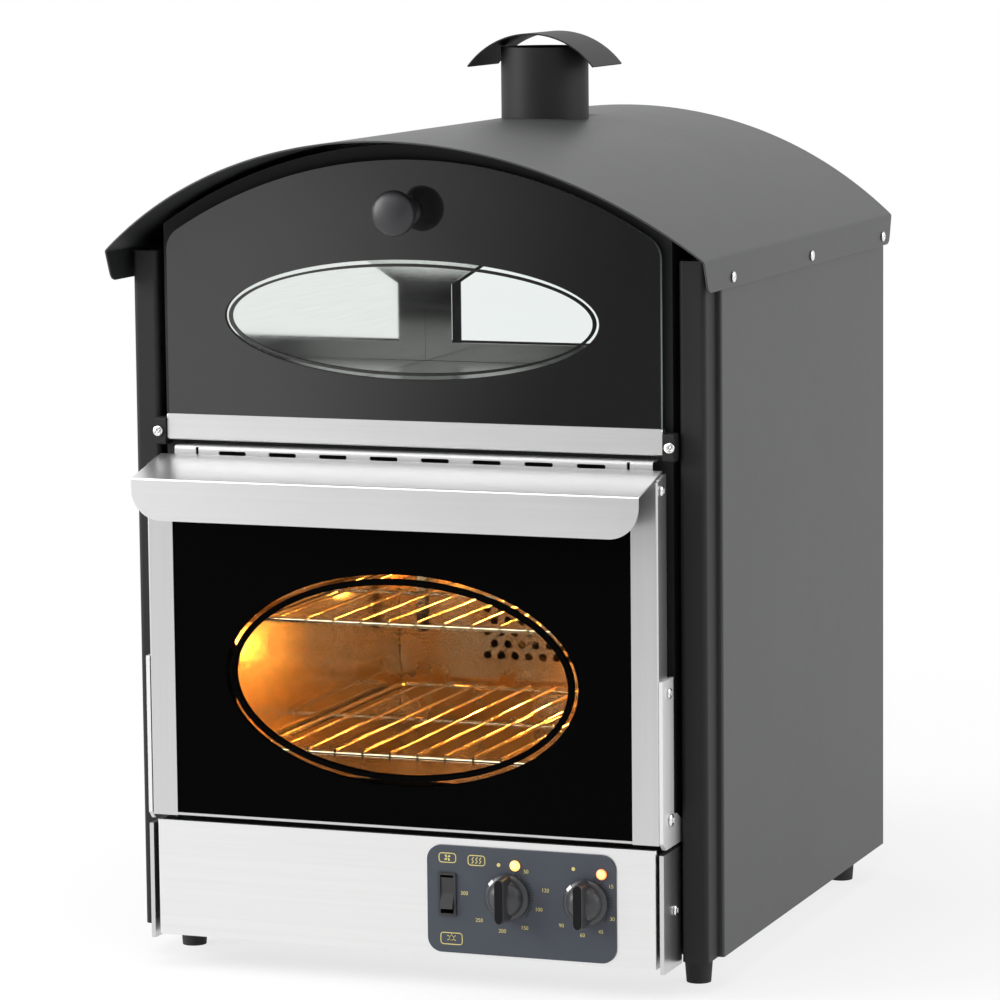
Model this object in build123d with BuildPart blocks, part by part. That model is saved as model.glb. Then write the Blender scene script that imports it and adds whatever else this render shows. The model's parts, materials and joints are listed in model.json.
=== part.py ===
# Counter-top baked potato oven: an arched steel cabinet with a heated display
# window on top, a drop-down oven door with a canopy handle below it, and a
# control fascia along the foot.  All sizes are millimetres.
# The origin lies on the table, under the middle of the oven.
# X runs to the viewer's right, Y to the back and Z up.
from math import asin, cos, degrees, radians, sin, sqrt

from build123d import *
import os

os.makedirs("parts", exist_ok=True)

# ---------------------------------------------------------------- clearances
seat = 0.3                  # between pieces that rest on each other
running = 0.05              # radial, pin in its bore
swing = 0.6                 # beside a part that swings past

# ---------------------------------------------------------------- sheet gauges
roof_gauge = 1.5
panel_gauge = 1.2
post_gauge = 1.5
liner_gauge = 1.2
frame_gauge = 1.5
glass_thickness = 4.0

# ---------------------------------------------------------------- main sizes
roof_width = 510.0
roof_bend_z = 587.0         # where the roof turns down into its side flanges
panel_front_y = -200.0
panel_rear_y = 269.0
oven_floor_z = 140.0
panel_bottom_z = 25.6

# widths, from the roof inwards
roof_half = roof_width / 2
roof_rail_depth = 3.7       # pressed strip that holds the roof flange off the panel
panel_half = roof_half - roof_gauge - seat - roof_rail_depth
post_width = 22.0
post_inset = 4.5
post_inner_x = panel_half - post_inset - post_width
frame_post_gap = 5.4
frame_half_width = post_inner_x - frame_post_gap
display_wall = 43.6         # from the edge of the front frame to the chamber
display_half = frame_half_width - display_wall
oven_wall = 52.6
oven_half = frame_half_width - oven_wall

# levels, from the roof downwards
display_floor_drop = 137.0
display_floor_z = roof_bend_z - display_floor_drop
oven_ceiling_drop = 55.0
oven_ceiling_z = display_floor_z - oven_ceiling_drop

# planes, from the side panels outwards
frame_return = 25.7         # depth of the front frame's turned edge
frame_front_y = panel_front_y - seat - frame_return

# ---------------------------------------------------------------- roof and flue
roof_rise = 93.5
roof_flange = 23.8
roof_front_reach = 60.0     # at the bend; the edge leans out above it
roof_front_y = panel_front_y - roof_front_reach
roof_rear_reach = 6.0
roof_rear_y = panel_rear_y + roof_rear_reach
roof_front_lean = 0.44      # how far forward the front edge leans per mm of height
roof_rear_lean = 0.31
flange_corner = 6.0
roof_screw_drop = 17.0      # below the bend
roof_screw_setback = 12.0
roof_screw_pitch = 216.0
roof_screw_count = 3
roof_radius = (roof_half**2 + roof_rise**2) / (2 * roof_rise)
roof_axis_z = roof_bend_z + roof_rise - roof_radius
flue_y = 87.0
flue_radius = 37.5
flue_wall = 1.2
flue_foot_drop = 12.5       # below the crown of the roof
flue_foot_z = roof_bend_z + roof_rise - flue_foot_drop
flue_standing = 72.0        # from the crown of the roof to the top of the cap
cap_top_z = roof_bend_z + roof_rise + flue_standing
cap_half_width = 57.0
cap_rise = 28.0
cap_length = 75.0
cap_gauge = 1.2

# ---------------------------------------------------------------- cabinet shell
panel_top_drop = 3.0
panel_top_z = roof_bend_z - panel_top_drop
panel_return = 15.0         # at the back
panel_front_return = 36.0   # carries the front frame and the post
panel_bend = 2.0
roof_rail_height = 17.0
post_reach = 2.0            # how far the post stands ahead of the frame
post_front_y = frame_front_y - post_reach
post_bottom_z = 26.0
post_top_drop = 2.0
post_top_z = roof_bend_z - post_top_drop
post_bend = 4.0
pan_height = 12.0
vent_slot = 34.0
vent_width = 4.0
vent_pitch_x = 44.0
vent_pitch_z = 11.0
pan_vent_pitch = 22.0
vent_rows = 6
vent_columns = 6
vent_centre_z = 250.0
foot_inset = 27.5
foot_x = panel_half - foot_inset
foot_front_setback = 19.0
foot_rear_setback = 41.0
foot_front_y = panel_front_y + foot_front_setback
foot_rear_y = panel_rear_y - foot_rear_setback
foot_top_radius = 12.0
foot_bottom_radius = 10.0
foot_stud_radius = 2.5
foot_stud_length = 7.0

# ---------------------------------------------------------------- front frame
frame_bottom_z = 28.0
frame_roof_gap = 6.5        # between the frame's arch and the roof sheet
oven_mouth_step = 5.0       # the mouth is this much narrower than the oven
oven_mouth_half = oven_half - oven_mouth_step
oven_sill = 18.0
oven_mouth_bottom = oven_floor_z + oven_sill
oven_mouth_drop = 7.0
oven_mouth_top = oven_ceiling_z - oven_mouth_drop
display_mouth_step = 1.0
display_mouth_half = display_half - display_mouth_step
display_sill = 2.0
display_mouth_bottom = display_floor_z + display_sill
display_mouth_height = 148.0
display_mouth_top = display_mouth_bottom + display_mouth_height
mouth_corner = 8.0
rail_end_inset = 18.0       # from the posts
rail_half_width = post_inner_x - rail_end_inset
rail_reach = 14.0
rail_front_y = frame_front_y - rail_reach
rail_drop = 22.0            # below the display floor
rail_height = 11.0
rail_top_z = display_floor_z - rail_drop
rail_bottom_z = rail_top_z - rail_height
rail_lip = 6.0
rail_bend = 3.0
rail_joint_inset = 20.0
rail_joint_x = rail_half_width - rail_joint_inset
rail_joint_gap = 2.4
rail_slot_length = 24.0
rail_slot_width = 3.4
rail_slot_count = 8
rail_slot_margin = 31.0     # from the joint to the middle of the last slot
rail_slot_pitch = 2 * (rail_joint_x - rail_slot_margin) / (rail_slot_count - 1)

# ---------------------------------------------------------------- display chamber
display_rear_setback = 26.0
display_rear_y = panel_rear_y - display_rear_setback
display_height = 154.0
display_ceiling_z = display_floor_z + display_height
liner_flange = 12.0
floor_lip = 14.0
window_side_inset = 26.0
window_half = display_half - window_side_inset
window_top_half_step = 38.0
window_top_half = window_half - window_top_half_step
window_sill = 17.0
window_bottom_z = display_floor_z + window_sill
window_wall_height = 53.0   # up to the sloping corners
window_shoulder_z = window_bottom_z + window_wall_height
window_corner_height = 25.0
window_top_z = window_shoulder_z + window_corner_height
window_margin = 8.0
lamp_length = 200.0
lamp_setback = 50.0
lamp_y = frame_front_y + lamp_setback
lamp_reflector = 34.0
lamp_drop = 13.0
lamp_tube_radius = 4.5

# ---------------------------------------------------------------- oven cavity
oven_rear_y = 200.0
fan_chamber_depth = 50.0
oven_baffle_y = oven_rear_y - fan_chamber_depth
baffle_hole_radius = 3.8
baffle_hole_pitch = 13.0
baffle_row_pitch = 10.5
baffle_hole_columns = 9
baffle_hole_rows = 9
baffle_slot_length = 90.0
baffle_slot_width = 12.0
baffle_slot_inset = 22.0
lower_shelf_rise = 32.0
upper_shelf_drop = 114.0
shelf_z = (oven_floor_z + lower_shelf_rise, oven_ceiling_z - upper_shelf_drop)
shelf_side_gap = 6.0
shelf_half = oven_half - shelf_side_gap
shelf_setback = 27.0
shelf_front_y = frame_front_y + shelf_setback
shelf_depth = 334.0
shelf_frame_radius = 2.0
shelf_rod_radius = 1.4
shelf_rod_count = 14
shelf_bar_count = 3
shelf_weld = 0.6            # how deep the thin wires sink into the thick ones
runner_ledge = 10.5
runner_height = 18.0
fan_offset = 1.5            # below the middle of the oven
fan_z = (oven_floor_z + oven_ceiling_z) / 2 - fan_offset
element_wall_gap = 43.5
element_ring_radius = (oven_ceiling_z - oven_floor_z) / 2 - element_wall_gap
element_fan_gap = 18.0
fan_radius = element_ring_radius - element_fan_gap
fan_depth = 26.0
fan_blade_count = 12
fan_blade_gauge = 1.2
fan_blade_sweep = 22.0      # degrees from the eye to the tip
fan_blade_bow = 1.5
fan_hub_radius = 11.0
fan_blade_length = 26.0
fan_eye_radius = fan_radius - fan_blade_length
fan_setback = 8.0
fan_front_y = oven_baffle_y + fan_setback
shaft_radius = 4.0
motor_radius = 34.0
motor_length = 50.0
motor_plate = 84.0
element_tube_radius = 4.0
element_leg_spread = 22.0
element_tail = 12.0
oven_lamp_side_gap = 53.0
oven_lamp_x = oven_half - oven_lamp_side_gap
oven_lamp_rear_gap = 45.0
oven_lamp_y = oven_baffle_y - oven_lamp_rear_gap
oven_lamp_radius = 19.0
oven_lamp_depth = 15.0
oven_lamp_collar = 4.0
oven_lamp_taper = 12.0      # degrees
steam_hole_radius = 14.0

# ---------------------------------------------------------------- oven door
door_overhang = 0.4         # beyond the frame's edge
door_half = frame_half_width + door_overhang
door_standoff = 19.6        # from the frame to the door's back edge
door_depth = 22.0
door_rear_y = frame_front_y - door_standoff
door_front_y = door_rear_y - door_depth
door_floor_drop = 12.7
door_bottom_z = oven_floor_z - door_floor_drop
door_gauge = 1.2
door_strip = 22.2
door_bend = 1.6
door_lip = 1.0              # straight part above the bend
pivot_setback = 17.0
pivot_y = door_front_y + pivot_setback
pivot_rise = 18.0
pivot_z = door_bottom_z + pivot_rise
pivot_radius = 3.0
ear_inset = 6.5
ear_inner_x = door_half - ear_inset
ear_gauge = 4.0
ear_radius = 7.0
ear_foot = 25.0
rail_ear_gap = 1.0          # the bottom rail ends inside the hinge ears
rail_inner_half = ear_inner_x - rail_ear_gap
door_top_rail_drop = 16.0
pan_lap = 21.0              # beyond the oven's walls
pan_half = oven_half + pan_lap
pan_foot_lap = 11.0
pan_bottom_z = oven_mouth_bottom - pan_foot_lap
pan_head_lap = 10.0
pan_top_z = oven_mouth_top + pan_head_lap
pan_frame_gap = 2.7
pan_rear_y = frame_front_y - pan_frame_gap
pan_flange_rise = 16.7      # above the hinge ears
pan_flange_step_z = pivot_z + pan_flange_rise
inner_glass_lap = 8.0
inner_window_side = 28.0
inner_window_half = pan_half - inner_window_side
inner_window_foot = 13.0
inner_window_bottom_z = pan_bottom_z + inner_window_foot
inner_window_head = 48.0
inner_window_top_z = pan_top_z - inner_window_head
inner_window_corner = 20.0
seal_width = 8.0
seal_inset = 2.0
canopy_inset = 3.2
canopy_half = door_half - canopy_inset
canopy_reach = 36.4
canopy_front_y = door_front_y - canopy_reach
canopy_rear_drop = 6.4
canopy_rear_z = rail_top_z - canopy_rear_drop
canopy_fall = 13.4          # from the rear edge to the crease
canopy_crease_z = canopy_rear_z - canopy_fall
canopy_flap = 33.7
canopy_flap_z = canopy_crease_z - canopy_flap
canopy_corner = 25.0
canopy_gauge = 1.2
canopy_bend = 2.0
canopy_screw_setback = 9.1
canopy_screw_y = door_front_y + canopy_screw_setback
canopy_screw_drop = 0.6
canopy_screw_z = canopy_crease_z - canopy_screw_drop

# ---------------------------------------------------------------- hinge arms
arm_gauge = 3.2
arm_depth = 26.8
arm_rear_y = door_front_y + arm_depth
arm_height = 135.0
pad_depth = 45.6
pad_rear_y = door_front_y + pad_depth
pad_drop = 4.3
pad_bottom_z = door_bottom_z - pad_drop
pad_height = 25.0
pad_top_z = pad_bottom_z + pad_height
arm_top_z = pad_bottom_z + arm_height
pad_chamfer_y = 12.0
pad_chamfer_z = 6.6
arm_toe = 6.0
arm_screw_drop = 11.0
arm_screw_z = arm_top_z - arm_screw_drop
arm_screw_setback = 14.6
arm_screw_y = door_front_y + arm_screw_setback

# ---------------------------------------------------------------- fascia and controls
fascia_setback = 1.0        # behind the face of the oven door
fascia_front_y = door_front_y + fascia_setback
fascia_inset = 3.0
fascia_half = frame_half_width - fascia_inset
fascia_bottom_z = 27.5
fascia_door_gap = 4.3
fascia_top_z = door_bottom_z - fascia_door_gap
fascia_hem = 4.0
fascia_cheek_drop = 5.0     # the cheeks stop short of the door's sweep
fascia_cheek_top_z = fascia_top_z - fascia_cheek_drop
fascia_foot = 16.0
plate_width = 159.5
plate_height = 87.0
plate_corner = 12.0
plate_thickness = 1.5
plate_x = 102.0
plate_z = 73.6
knob_x = (91.0, 157.0)
knob_z = 78.5
knob_radius = 19.0
knob_skirt = 5.0
knob_skirt_chamfer = 1.2
knob_body_radius = 14.5
knob_grip_width = 8.5
knob_height = 19.0
knob_body_height = 11.0
knob_grip_lap = 5.0
knob_grip_chamfer = 1.2
spindle_radius = 3.0
spindle_reach = 12.0
control_box = 34.0
control_depth = 26.0
tab_length = 6.0
tab_width = 8.6
lamp_spots = ((97.5, 104.3), (170.3, 102.0))
lamp_lens_radius = 4.4
lamp_body_radius = 3.8
lamp_dome = 2.6
lamp_chamfer = 1.6
lamp_tail = 14.0
switch_x = 39.7
switch_z = 77.7
switch_width = 15.0
switch_height = 35.0
switch_rim = 1.4
switch_ledge = 0.8          # how far the rim stands out past the body
switch_wall = 1.1
switch_depth = 17.0
rocker_half_length = 12.6
rocker_tilt = 8.0
rocker_front = 7.6          # ends of the rocker face, ahead of its pin
rocker_waist = 5.4
rocker_back = 4.0
rocker_setback = 3.0        # of the pin, behind the fascia
rocker_pivot_y = fascia_front_y + rocker_setback
rocker_pin_radius = 1.4
plinth_gauge = 3.5
plinth_front_step = 0.4
plinth_front_y = fascia_front_y - plinth_front_step
plinth_depth = 44.6
plinth_rear_y = plinth_front_y + plinth_depth
plinth_bottom_z = 24.0
plinth_arm_gap = 3.5
plinth_top_z = pad_bottom_z - plinth_arm_gap
plinth_screw_setback = 26.6
plinth_screw_y = fascia_front_y + plinth_screw_setback
plinth_screw_z = 70.7

# ---------------------------------------------------------------- display door
glass_reach = 9.8
glass_front_y = frame_front_y - glass_reach
channel_gauge = 1.2
channel_bend = 2.2
block_width = 9.3
display_door_half = post_inner_x - 2 * swing - block_width - channel_gauge
glass_shoulder = 20.0
glass_roof_gap = 18.5       # between the glass edge and the roof's outer arc
channel_rise = 4.0          # above the nose rail
channel_bottom_z = rail_top_z + channel_rise
channel_height = 21.4
channel_top_z = channel_bottom_z + channel_height
display_pivot_rise = 7.2
display_pivot_z = channel_bottom_z + display_pivot_rise
display_pivot_setback = 2.0
display_pivot_y = glass_front_y + display_pivot_setback
display_pin_radius = 2.5
display_pin_length = 5.0
block_round = 2.0
block_screw_inset = 6.1
block_front_y = rail_front_y
block_bottom_z = rail_top_z
block_height = 22.0
block_top_z = block_bottom_z + block_height
door_knob_rise = 171.4
door_knob_z = display_floor_z + door_knob_rise
door_knob_radius = 18.4
door_knob_height = 38.0
door_knob_face_radius = 12.0
door_knob_rim = 6.5
door_knob_rim_width = 3.5
door_knob_neck_start = 16.0
door_knob_neck = 8.0
door_knob_foot = 4.5
door_knob_foot_rim = 3.0
door_knob_base = 11.5
door_knob_screw = 2.5
door_knob_nut = 9.0

# ---------------------------------------------------------------- screws
screw_radius = 2.0
screw_head_radius = 4.3
screw_head_height = 2.2
bolt_head_radius = 5.0
bolt_head_height = 2.6
head_crown = 0.62           # share of a head's radius that is flat on top
head_rim = 0.45             # share of its height below the sloping part
screw_short = 7.0
screw_long = 8.6

# ---------------------------------------------------------------- terminals and gland
terminal_width = 42.0
terminal_height = 18.0
terminal_depth = 16.0
gland_inset = 64.5
gland_x = panel_half - gland_inset
terminal_spacing = 43.0
terminal_x = gland_x - terminal_spacing
gland_z = 70.0
gland_radius = 10.0
gland_hexagon = 13.5
gland_cap_radius = 11.5
gland_nut_radius = 14.0
gland_bore = 5.0
gland_collar = 6.0
gland_reach = 18.0

# ---------------------------------------------------------------- worked-out values
rear_panel_y = panel_rear_y - panel_gauge - seat          # outer face of the rear panel
liner_front_y = frame_front_y + frame_gauge + seat


def at_x(x):
    return Plane.YZ.offset(x)


def at_y(y):
    return Plane.XZ.offset(-y)


def at_z(z):
    return Plane.XY.offset(z)


def arc_height(x, radius):
    # height of an arc that shares the roof's axis
    return roof_axis_z + sqrt(radius**2 - x**2)


def folded(plane, points, gauge, bend, side=Side.LEFT):
    # section of a folded sheet: points run along one face, the gauge goes to one side
    with BuildSketch(plane) as section:
        with BuildLine():
            FilletPolyline(*points, radius=bend)
            offset(amount=gauge, side=side)
        make_face()
    return section.sketch


def flat(plane, low, high, corner=0.0):
    # rectangle from its low corner to its high corner
    centre = ((low[0] + high[0]) / 2, (low[1] + high[1]) / 2)
    width, height = high[0] - low[0], high[1] - low[1]
    with BuildSketch(plane) as face:
        with Locations(centre):
            if corner > 0:
                RectangleRounded(width, height, corner)
            else:
                Rectangle(width, height)
    return face.sketch


def arched(plane, half, bottom, radius):
    # plate outline with an arched top that shares the roof's axis
    shoulder = arc_height(half, radius)
    with BuildSketch(plane) as face:
        with BuildLine():
            Polyline((-half, shoulder), (-half, bottom), (half, bottom), (half, shoulder))
            ThreePointArc((-half, shoulder), (0, roof_axis_z + radius), (half, shoulder))
        make_face()
    return face.sketch


def dots(plane, places, radius):
    with BuildSketch(plane) as face:
        with Locations(*places):
            Circle(radius)
    return face.sketch


def curved_blade():
    # strip that leans back as it runs from the eye of the wheel to its rim
    reach = fan_radius - fan_blade_gauge
    tip = (reach * cos(radians(fan_blade_sweep)), reach * sin(radians(fan_blade_sweep)))
    middle = ((fan_eye_radius + tip[0]) / 2 + fan_blade_bow, tip[1] / 2 - fan_blade_bow)
    with BuildSketch() as blade:
        with BuildLine():
            ThreePointArc((fan_eye_radius, 0), middle, tip)
            offset(amount=fan_blade_gauge, side=Side.LEFT)
        make_face()
    return blade.sketch


def pan_head_screw(shank, length, head, height):
    # head above the origin, shank below it
    with BuildPart() as screw:
        with BuildSketch(Plane.XZ):
            with BuildLine():
                Polyline(
                    (head, 0), (shank, 0), (shank, -length), (0, -length), (0, height),
                    (head * head_crown, height), (head, height * head_rim), close=True,
                )
            make_face()
        revolve(axis=Axis.Z)
    return screw.part


def save(piece, name):
    piece.part.label = name
    export_step(piece.part, f"parts/{name}.step")


# ================================================================ roof, flue and cap
roof_screw_y = [panel_front_y + roof_screw_setback + i * roof_screw_pitch for i in range(roof_screw_count)]
roof_screw_z = roof_bend_z - roof_screw_drop

with BuildPart() as roof_sheet:
    with BuildSketch(at_y(-roof_half - roof_rise)):
        with BuildLine():
            Line((-roof_half, roof_bend_z - roof_flange), (-roof_half, roof_bend_z))
            ThreePointArc((-roof_half, roof_bend_z), (0, roof_bend_z + roof_rise), (roof_half, roof_bend_z))
            Line((roof_half, roof_bend_z), (roof_half, roof_bend_z - roof_flange))
            offset(amount=roof_gauge, side=Side.RIGHT)
        make_face()
    extrude(amount=-2 * (roof_half + roof_rise))
    split(
        bisect_by=Plane(origin=(0, roof_front_y, roof_bend_z), x_dir=(1, 0, 0), z_dir=(0, 1, roof_front_lean)),
        keep=Keep.TOP,
    )
    split(
        bisect_by=Plane(origin=(0, roof_rear_y, roof_bend_z), x_dir=(1, 0, 0), z_dir=(0, 1, -roof_rear_lean)),
        keep=Keep.BOTTOM,
    )
    # lower corners of the flanges
    corners = roof_sheet.edges().filter_by(Axis.X).group_by(Axis.Z)[0]
    fillet(corners, flange_corner)
    extrude(dots(at_z(flue_foot_z), [(0, flue_y)], flue_radius + seat), amount=roof_rise, mode=Mode.SUBTRACT)
    screw_holes = [(y, roof_screw_z) for y in roof_screw_y]
    extrude(dots(at_x(-roof_width), screw_holes, screw_radius + seat), amount=2 * roof_width,
            mode=Mode.SUBTRACT)
save(roof_sheet, "roof_sheet")

cap_radius = (cap_half_width**2 + cap_rise**2) / (2 * cap_rise)
cap_axis_z = cap_top_z - cap_radius
flue_top_z = cap_axis_z + sqrt((cap_radius - cap_gauge) ** 2 - flue_radius**2) - seat

with BuildPart() as flue_tube:
    with BuildSketch(at_z(flue_foot_z)):
        with Locations((0, flue_y)):
            Circle(flue_radius)
            Circle(flue_radius - flue_wall, mode=Mode.SUBTRACT)
    extrude(amount=flue_top_z - flue_foot_z)
save(flue_tube, "flue_tube")

with BuildPart() as flue_cap:
    with BuildSketch(at_y(flue_y - cap_length / 2)):
        with BuildLine():
            ThreePointArc(
                (-cap_half_width, cap_top_z - cap_rise), (0, cap_top_z), (cap_half_width, cap_top_z - cap_rise)
            )
            offset(amount=cap_gauge, side=Side.RIGHT)
        make_face()
    extrude(amount=-cap_length)
save(flue_cap, "flue_cap")

# ================================================================ outer shell
with BuildPart() as right_side_panel:
    side_points = [
        (panel_half - panel_front_return, panel_front_y),
        (panel_half, panel_front_y),
        (panel_half, panel_rear_y),
        (panel_half - panel_return, panel_rear_y),
    ]
    extrude(folded(at_z(panel_bottom_z), side_points, panel_gauge, panel_bend),
            amount=panel_top_z - panel_bottom_z)
    # pressed strip behind the roof flange
    strip_low = (panel_front_y + panel_return, panel_top_z - roof_rail_height - panel_gauge)
    strip_high = (panel_rear_y - panel_return, panel_top_z - panel_gauge)
    extrude(flat(at_x(panel_half - panel_gauge / 2), strip_low, strip_high),
            amount=roof_rail_depth + panel_gauge / 2)
    extrude(dots(at_x(0), screw_holes, screw_radius + seat), amount=roof_width, mode=Mode.SUBTRACT)
save(right_side_panel, "right_side_panel")

with BuildPart() as left_side_panel:
    mirror(right_side_panel.part, about=Plane.YZ)
save(left_side_panel, "left_side_panel")

frame_arch = roof_radius - frame_roof_gap
rear_half = panel_half - panel_gauge - seat

with BuildPart() as rear_panel:
    extrude(arched(at_y(rear_panel_y), rear_half, panel_bottom_z + pan_height, frame_arch), amount=panel_gauge)
    with BuildSketch(at_y(rear_panel_y)):
        with BuildLine():
            Polyline(
                (-window_half, window_bottom_z), (window_half, window_bottom_z),
                (window_half, window_shoulder_z), (window_top_half, window_top_z),
                (-window_top_half, window_top_z), (-window_half, window_shoulder_z), close=True,
            )
        make_face()
    extrude(amount=2 * panel_gauge, both=True, mode=Mode.SUBTRACT)
    with BuildSketch(at_y(rear_panel_y)):
        with Locations((0, vent_centre_z)):
            with GridLocations(vent_pitch_x, vent_pitch_z, vent_columns, vent_rows):
                Rectangle(vent_slot, vent_width)
    extrude(amount=2 * panel_gauge, both=True, mode=Mode.SUBTRACT)
    extrude(dots(at_y(rear_panel_y), [(gland_x, gland_z)], gland_radius + seat), amount=2 * panel_gauge,
            both=True, mode=Mode.SUBTRACT)
save(rear_panel, "rear_panel")

with BuildPart() as right_front_post:
    post_outer_x = post_inner_x + post_width
    post_points = [
        (post_inner_x, panel_front_y - seat),
        (post_inner_x, post_front_y),
        (post_outer_x, post_front_y),
        (post_outer_x, panel_front_y - seat),
    ]
    extrude(folded(at_z(post_bottom_z), post_points, post_gauge, post_bend), amount=post_top_z - post_bottom_z)
save(right_front_post, "right_front_post")

with BuildPart() as left_front_post:
    mirror(right_front_post.part, about=Plane.YZ)
save(left_front_post, "left_front_post")

pan_rear = rear_panel_y - panel_gauge - seat
foot_places = [(sx * foot_x, y) for sx in (-1, 1) for y in (foot_front_y, foot_rear_y)]

with BuildPart() as base_pan:
    extrude(flat(at_z(panel_bottom_z), (-rear_half, panel_front_y + panel_gauge + seat), (rear_half, pan_rear)),
            amount=pan_height)
    offset(amount=-panel_gauge, openings=base_pan.faces().sort_by(Axis.Z)[-1])
    extrude(dots(at_z(panel_bottom_z), foot_places, foot_stud_radius + seat), amount=2 * panel_gauge,
            mode=Mode.SUBTRACT)
    with BuildSketch(at_z(panel_bottom_z)):
        with GridLocations(vent_pitch_x, pan_vent_pitch, vent_columns, vent_rows):
            Rectangle(vent_slot, vent_width)
    extrude(amount=2 * panel_gauge, mode=Mode.SUBTRACT)
save(base_pan, "base_pan")

with BuildPart() as rubber_feet:
    foot_top_z = panel_bottom_z - seat
    for foot_place in foot_places:
        with BuildSketch(at_z(0)):
            with Locations(foot_place):
                Circle(foot_bottom_radius)
        with BuildSketch(at_z(foot_top_z)):
            with Locations(foot_place):
                Circle(foot_top_radius)
        loft()
    extrude(dots(at_z(foot_top_z), foot_places, foot_stud_radius), amount=foot_stud_length)
save(rubber_feet, "rubber_feet")

# ================================================================ front frame
with BuildPart() as front_frame:
    extrude(arched(at_y(frame_front_y), frame_half_width, frame_bottom_z, frame_arch), amount=-frame_return)
    offset(amount=-frame_gauge, openings=front_frame.faces().sort_by(Axis.Y)[-1])
    mouths = [
        flat(at_y(frame_front_y), (-oven_mouth_half, oven_mouth_bottom), (oven_mouth_half, oven_mouth_top),
             mouth_corner),
        flat(at_y(frame_front_y), (-display_mouth_half, display_mouth_bottom),
             (display_mouth_half, display_mouth_top), mouth_corner),
    ]
    for mouth in mouths:
        extrude(mouth, amount=-2 * frame_gauge, mode=Mode.SUBTRACT)
save(front_frame, "front_frame")

with BuildPart() as nose_rail:
    rail_points = [
        (frame_front_y - seat, rail_top_z),
        (rail_front_y, rail_top_z),
        (rail_front_y, rail_bottom_z),
        (rail_front_y + rail_lip, rail_bottom_z),
    ]
    extrude(folded(at_x(-rail_half_width), rail_points, panel_gauge, rail_bend), amount=2 * rail_half_width)
    for side in (-1, 1):
        # a notch through the front face and the lip; the top stays whole
        low = side * rail_joint_x - rail_joint_gap / 2
        extrude(flat(at_x(low), (rail_front_y - rail_lip, rail_bottom_z - rail_lip),
                     (rail_front_y + 2 * rail_lip, rail_top_z - panel_gauge)), amount=rail_joint_gap,
                mode=Mode.SUBTRACT)
    with BuildSketch(at_y(rail_front_y)):
        with Locations((0, (rail_top_z + rail_bottom_z) / 2)):
            with GridLocations(rail_slot_pitch, 1, rail_slot_count, 1):
                SlotOverall(rail_slot_length, rail_slot_width)
    extrude(amount=-2 * panel_gauge, mode=Mode.SUBTRACT)
save(nose_rail, "nose_rail")

# ================================================================ display chamber
chamber_depth_end = display_rear_y - seat
ledge_half = display_half + liner_flange

with BuildPart() as display_floor:
    floor_points = [
        (liner_front_y, display_floor_z - floor_lip),
        (liner_front_y, display_floor_z),
        (chamber_depth_end, display_floor_z),
    ]
    extrude(folded(at_x(-ledge_half), floor_points, liner_gauge, panel_bend, Side.RIGHT), amount=2 * ledge_half)
save(display_floor, "display_floor")

with BuildPart() as display_side_liners:
    side_points = [
        (display_half, display_floor_z + seat),
        (display_half, display_ceiling_z),
        (display_half + liner_flange, display_ceiling_z),
    ]
    extrude(folded(at_y(liner_front_y), side_points, liner_gauge, panel_bend, Side.RIGHT),
            amount=liner_front_y - chamber_depth_end)
    mirror(about=Plane.YZ)
save(display_side_liners, "display_side_liners")

with BuildPart() as display_rear_liner:
    extrude(flat(at_y(display_rear_y), (-ledge_half, display_floor_z + seat), (ledge_half, display_ceiling_z)),
            amount=-liner_gauge)
    with BuildSketch(at_y(display_rear_y)):
        with BuildLine():
            Polyline(
                (-window_half, window_bottom_z), (window_half, window_bottom_z),
                (window_half, window_shoulder_z), (window_top_half, window_top_z),
                (-window_top_half, window_top_z), (-window_half, window_shoulder_z), close=True,
            )
        make_face()
    extrude(amount=2 * liner_gauge, both=True, mode=Mode.SUBTRACT)
save(display_rear_liner, "display_rear_liner")

with BuildPart() as rear_window:
    extrude(flat(at_y(display_rear_y + liner_gauge + seat),
                 (-window_half - window_margin, window_bottom_z - window_margin),
                 (window_half + window_margin, window_top_z + window_margin)), amount=-glass_thickness)
save(rear_window, "rear_window")

with BuildPart() as display_top_liner:
    extrude(flat(at_z(display_ceiling_z + seat), (-ledge_half, liner_front_y), (ledge_half, chamber_depth_end)),
            amount=liner_gauge)
    extrude(dots(at_z(display_ceiling_z), [(0, flue_y)], flue_radius), amount=3 * liner_gauge,
            mode=Mode.SUBTRACT)
save(display_top_liner, "display_top_liner")

with BuildPart() as display_lamp:
    half = lamp_reflector / 2
    trough = [
        (lamp_y - half, display_ceiling_z - lamp_drop),
        (lamp_y - half, display_ceiling_z - seat),
        (lamp_y + half, display_ceiling_z - seat),
        (lamp_y + half, display_ceiling_z - lamp_drop),
    ]
    extrude(folded(at_x(-lamp_length / 2), trough, liner_gauge, panel_bend, Side.RIGHT), amount=lamp_length)
    # lamp holders at the ends of the trough, with the tube between them
    for side in (-1, 1):
        holder_low = (lamp_y - half + liner_gauge / 2, display_ceiling_z - lamp_drop)
        holder_high = (lamp_y + half - liner_gauge / 2, display_ceiling_z - seat - liner_gauge / 2)
        extrude(flat(at_x(side * lamp_length / 2), holder_low, holder_high), amount=-side * lamp_tube_radius)
    extrude(dots(at_x(-lamp_length / 2), [(lamp_y, display_ceiling_z - lamp_drop + lamp_tube_radius)],
                 lamp_tube_radius), amount=lamp_length)
save(display_lamp, "display_lamp")

# ================================================================ oven cavity
oven_ledge_half = oven_half + liner_flange
oven_depth_end = oven_rear_y - seat

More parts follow.
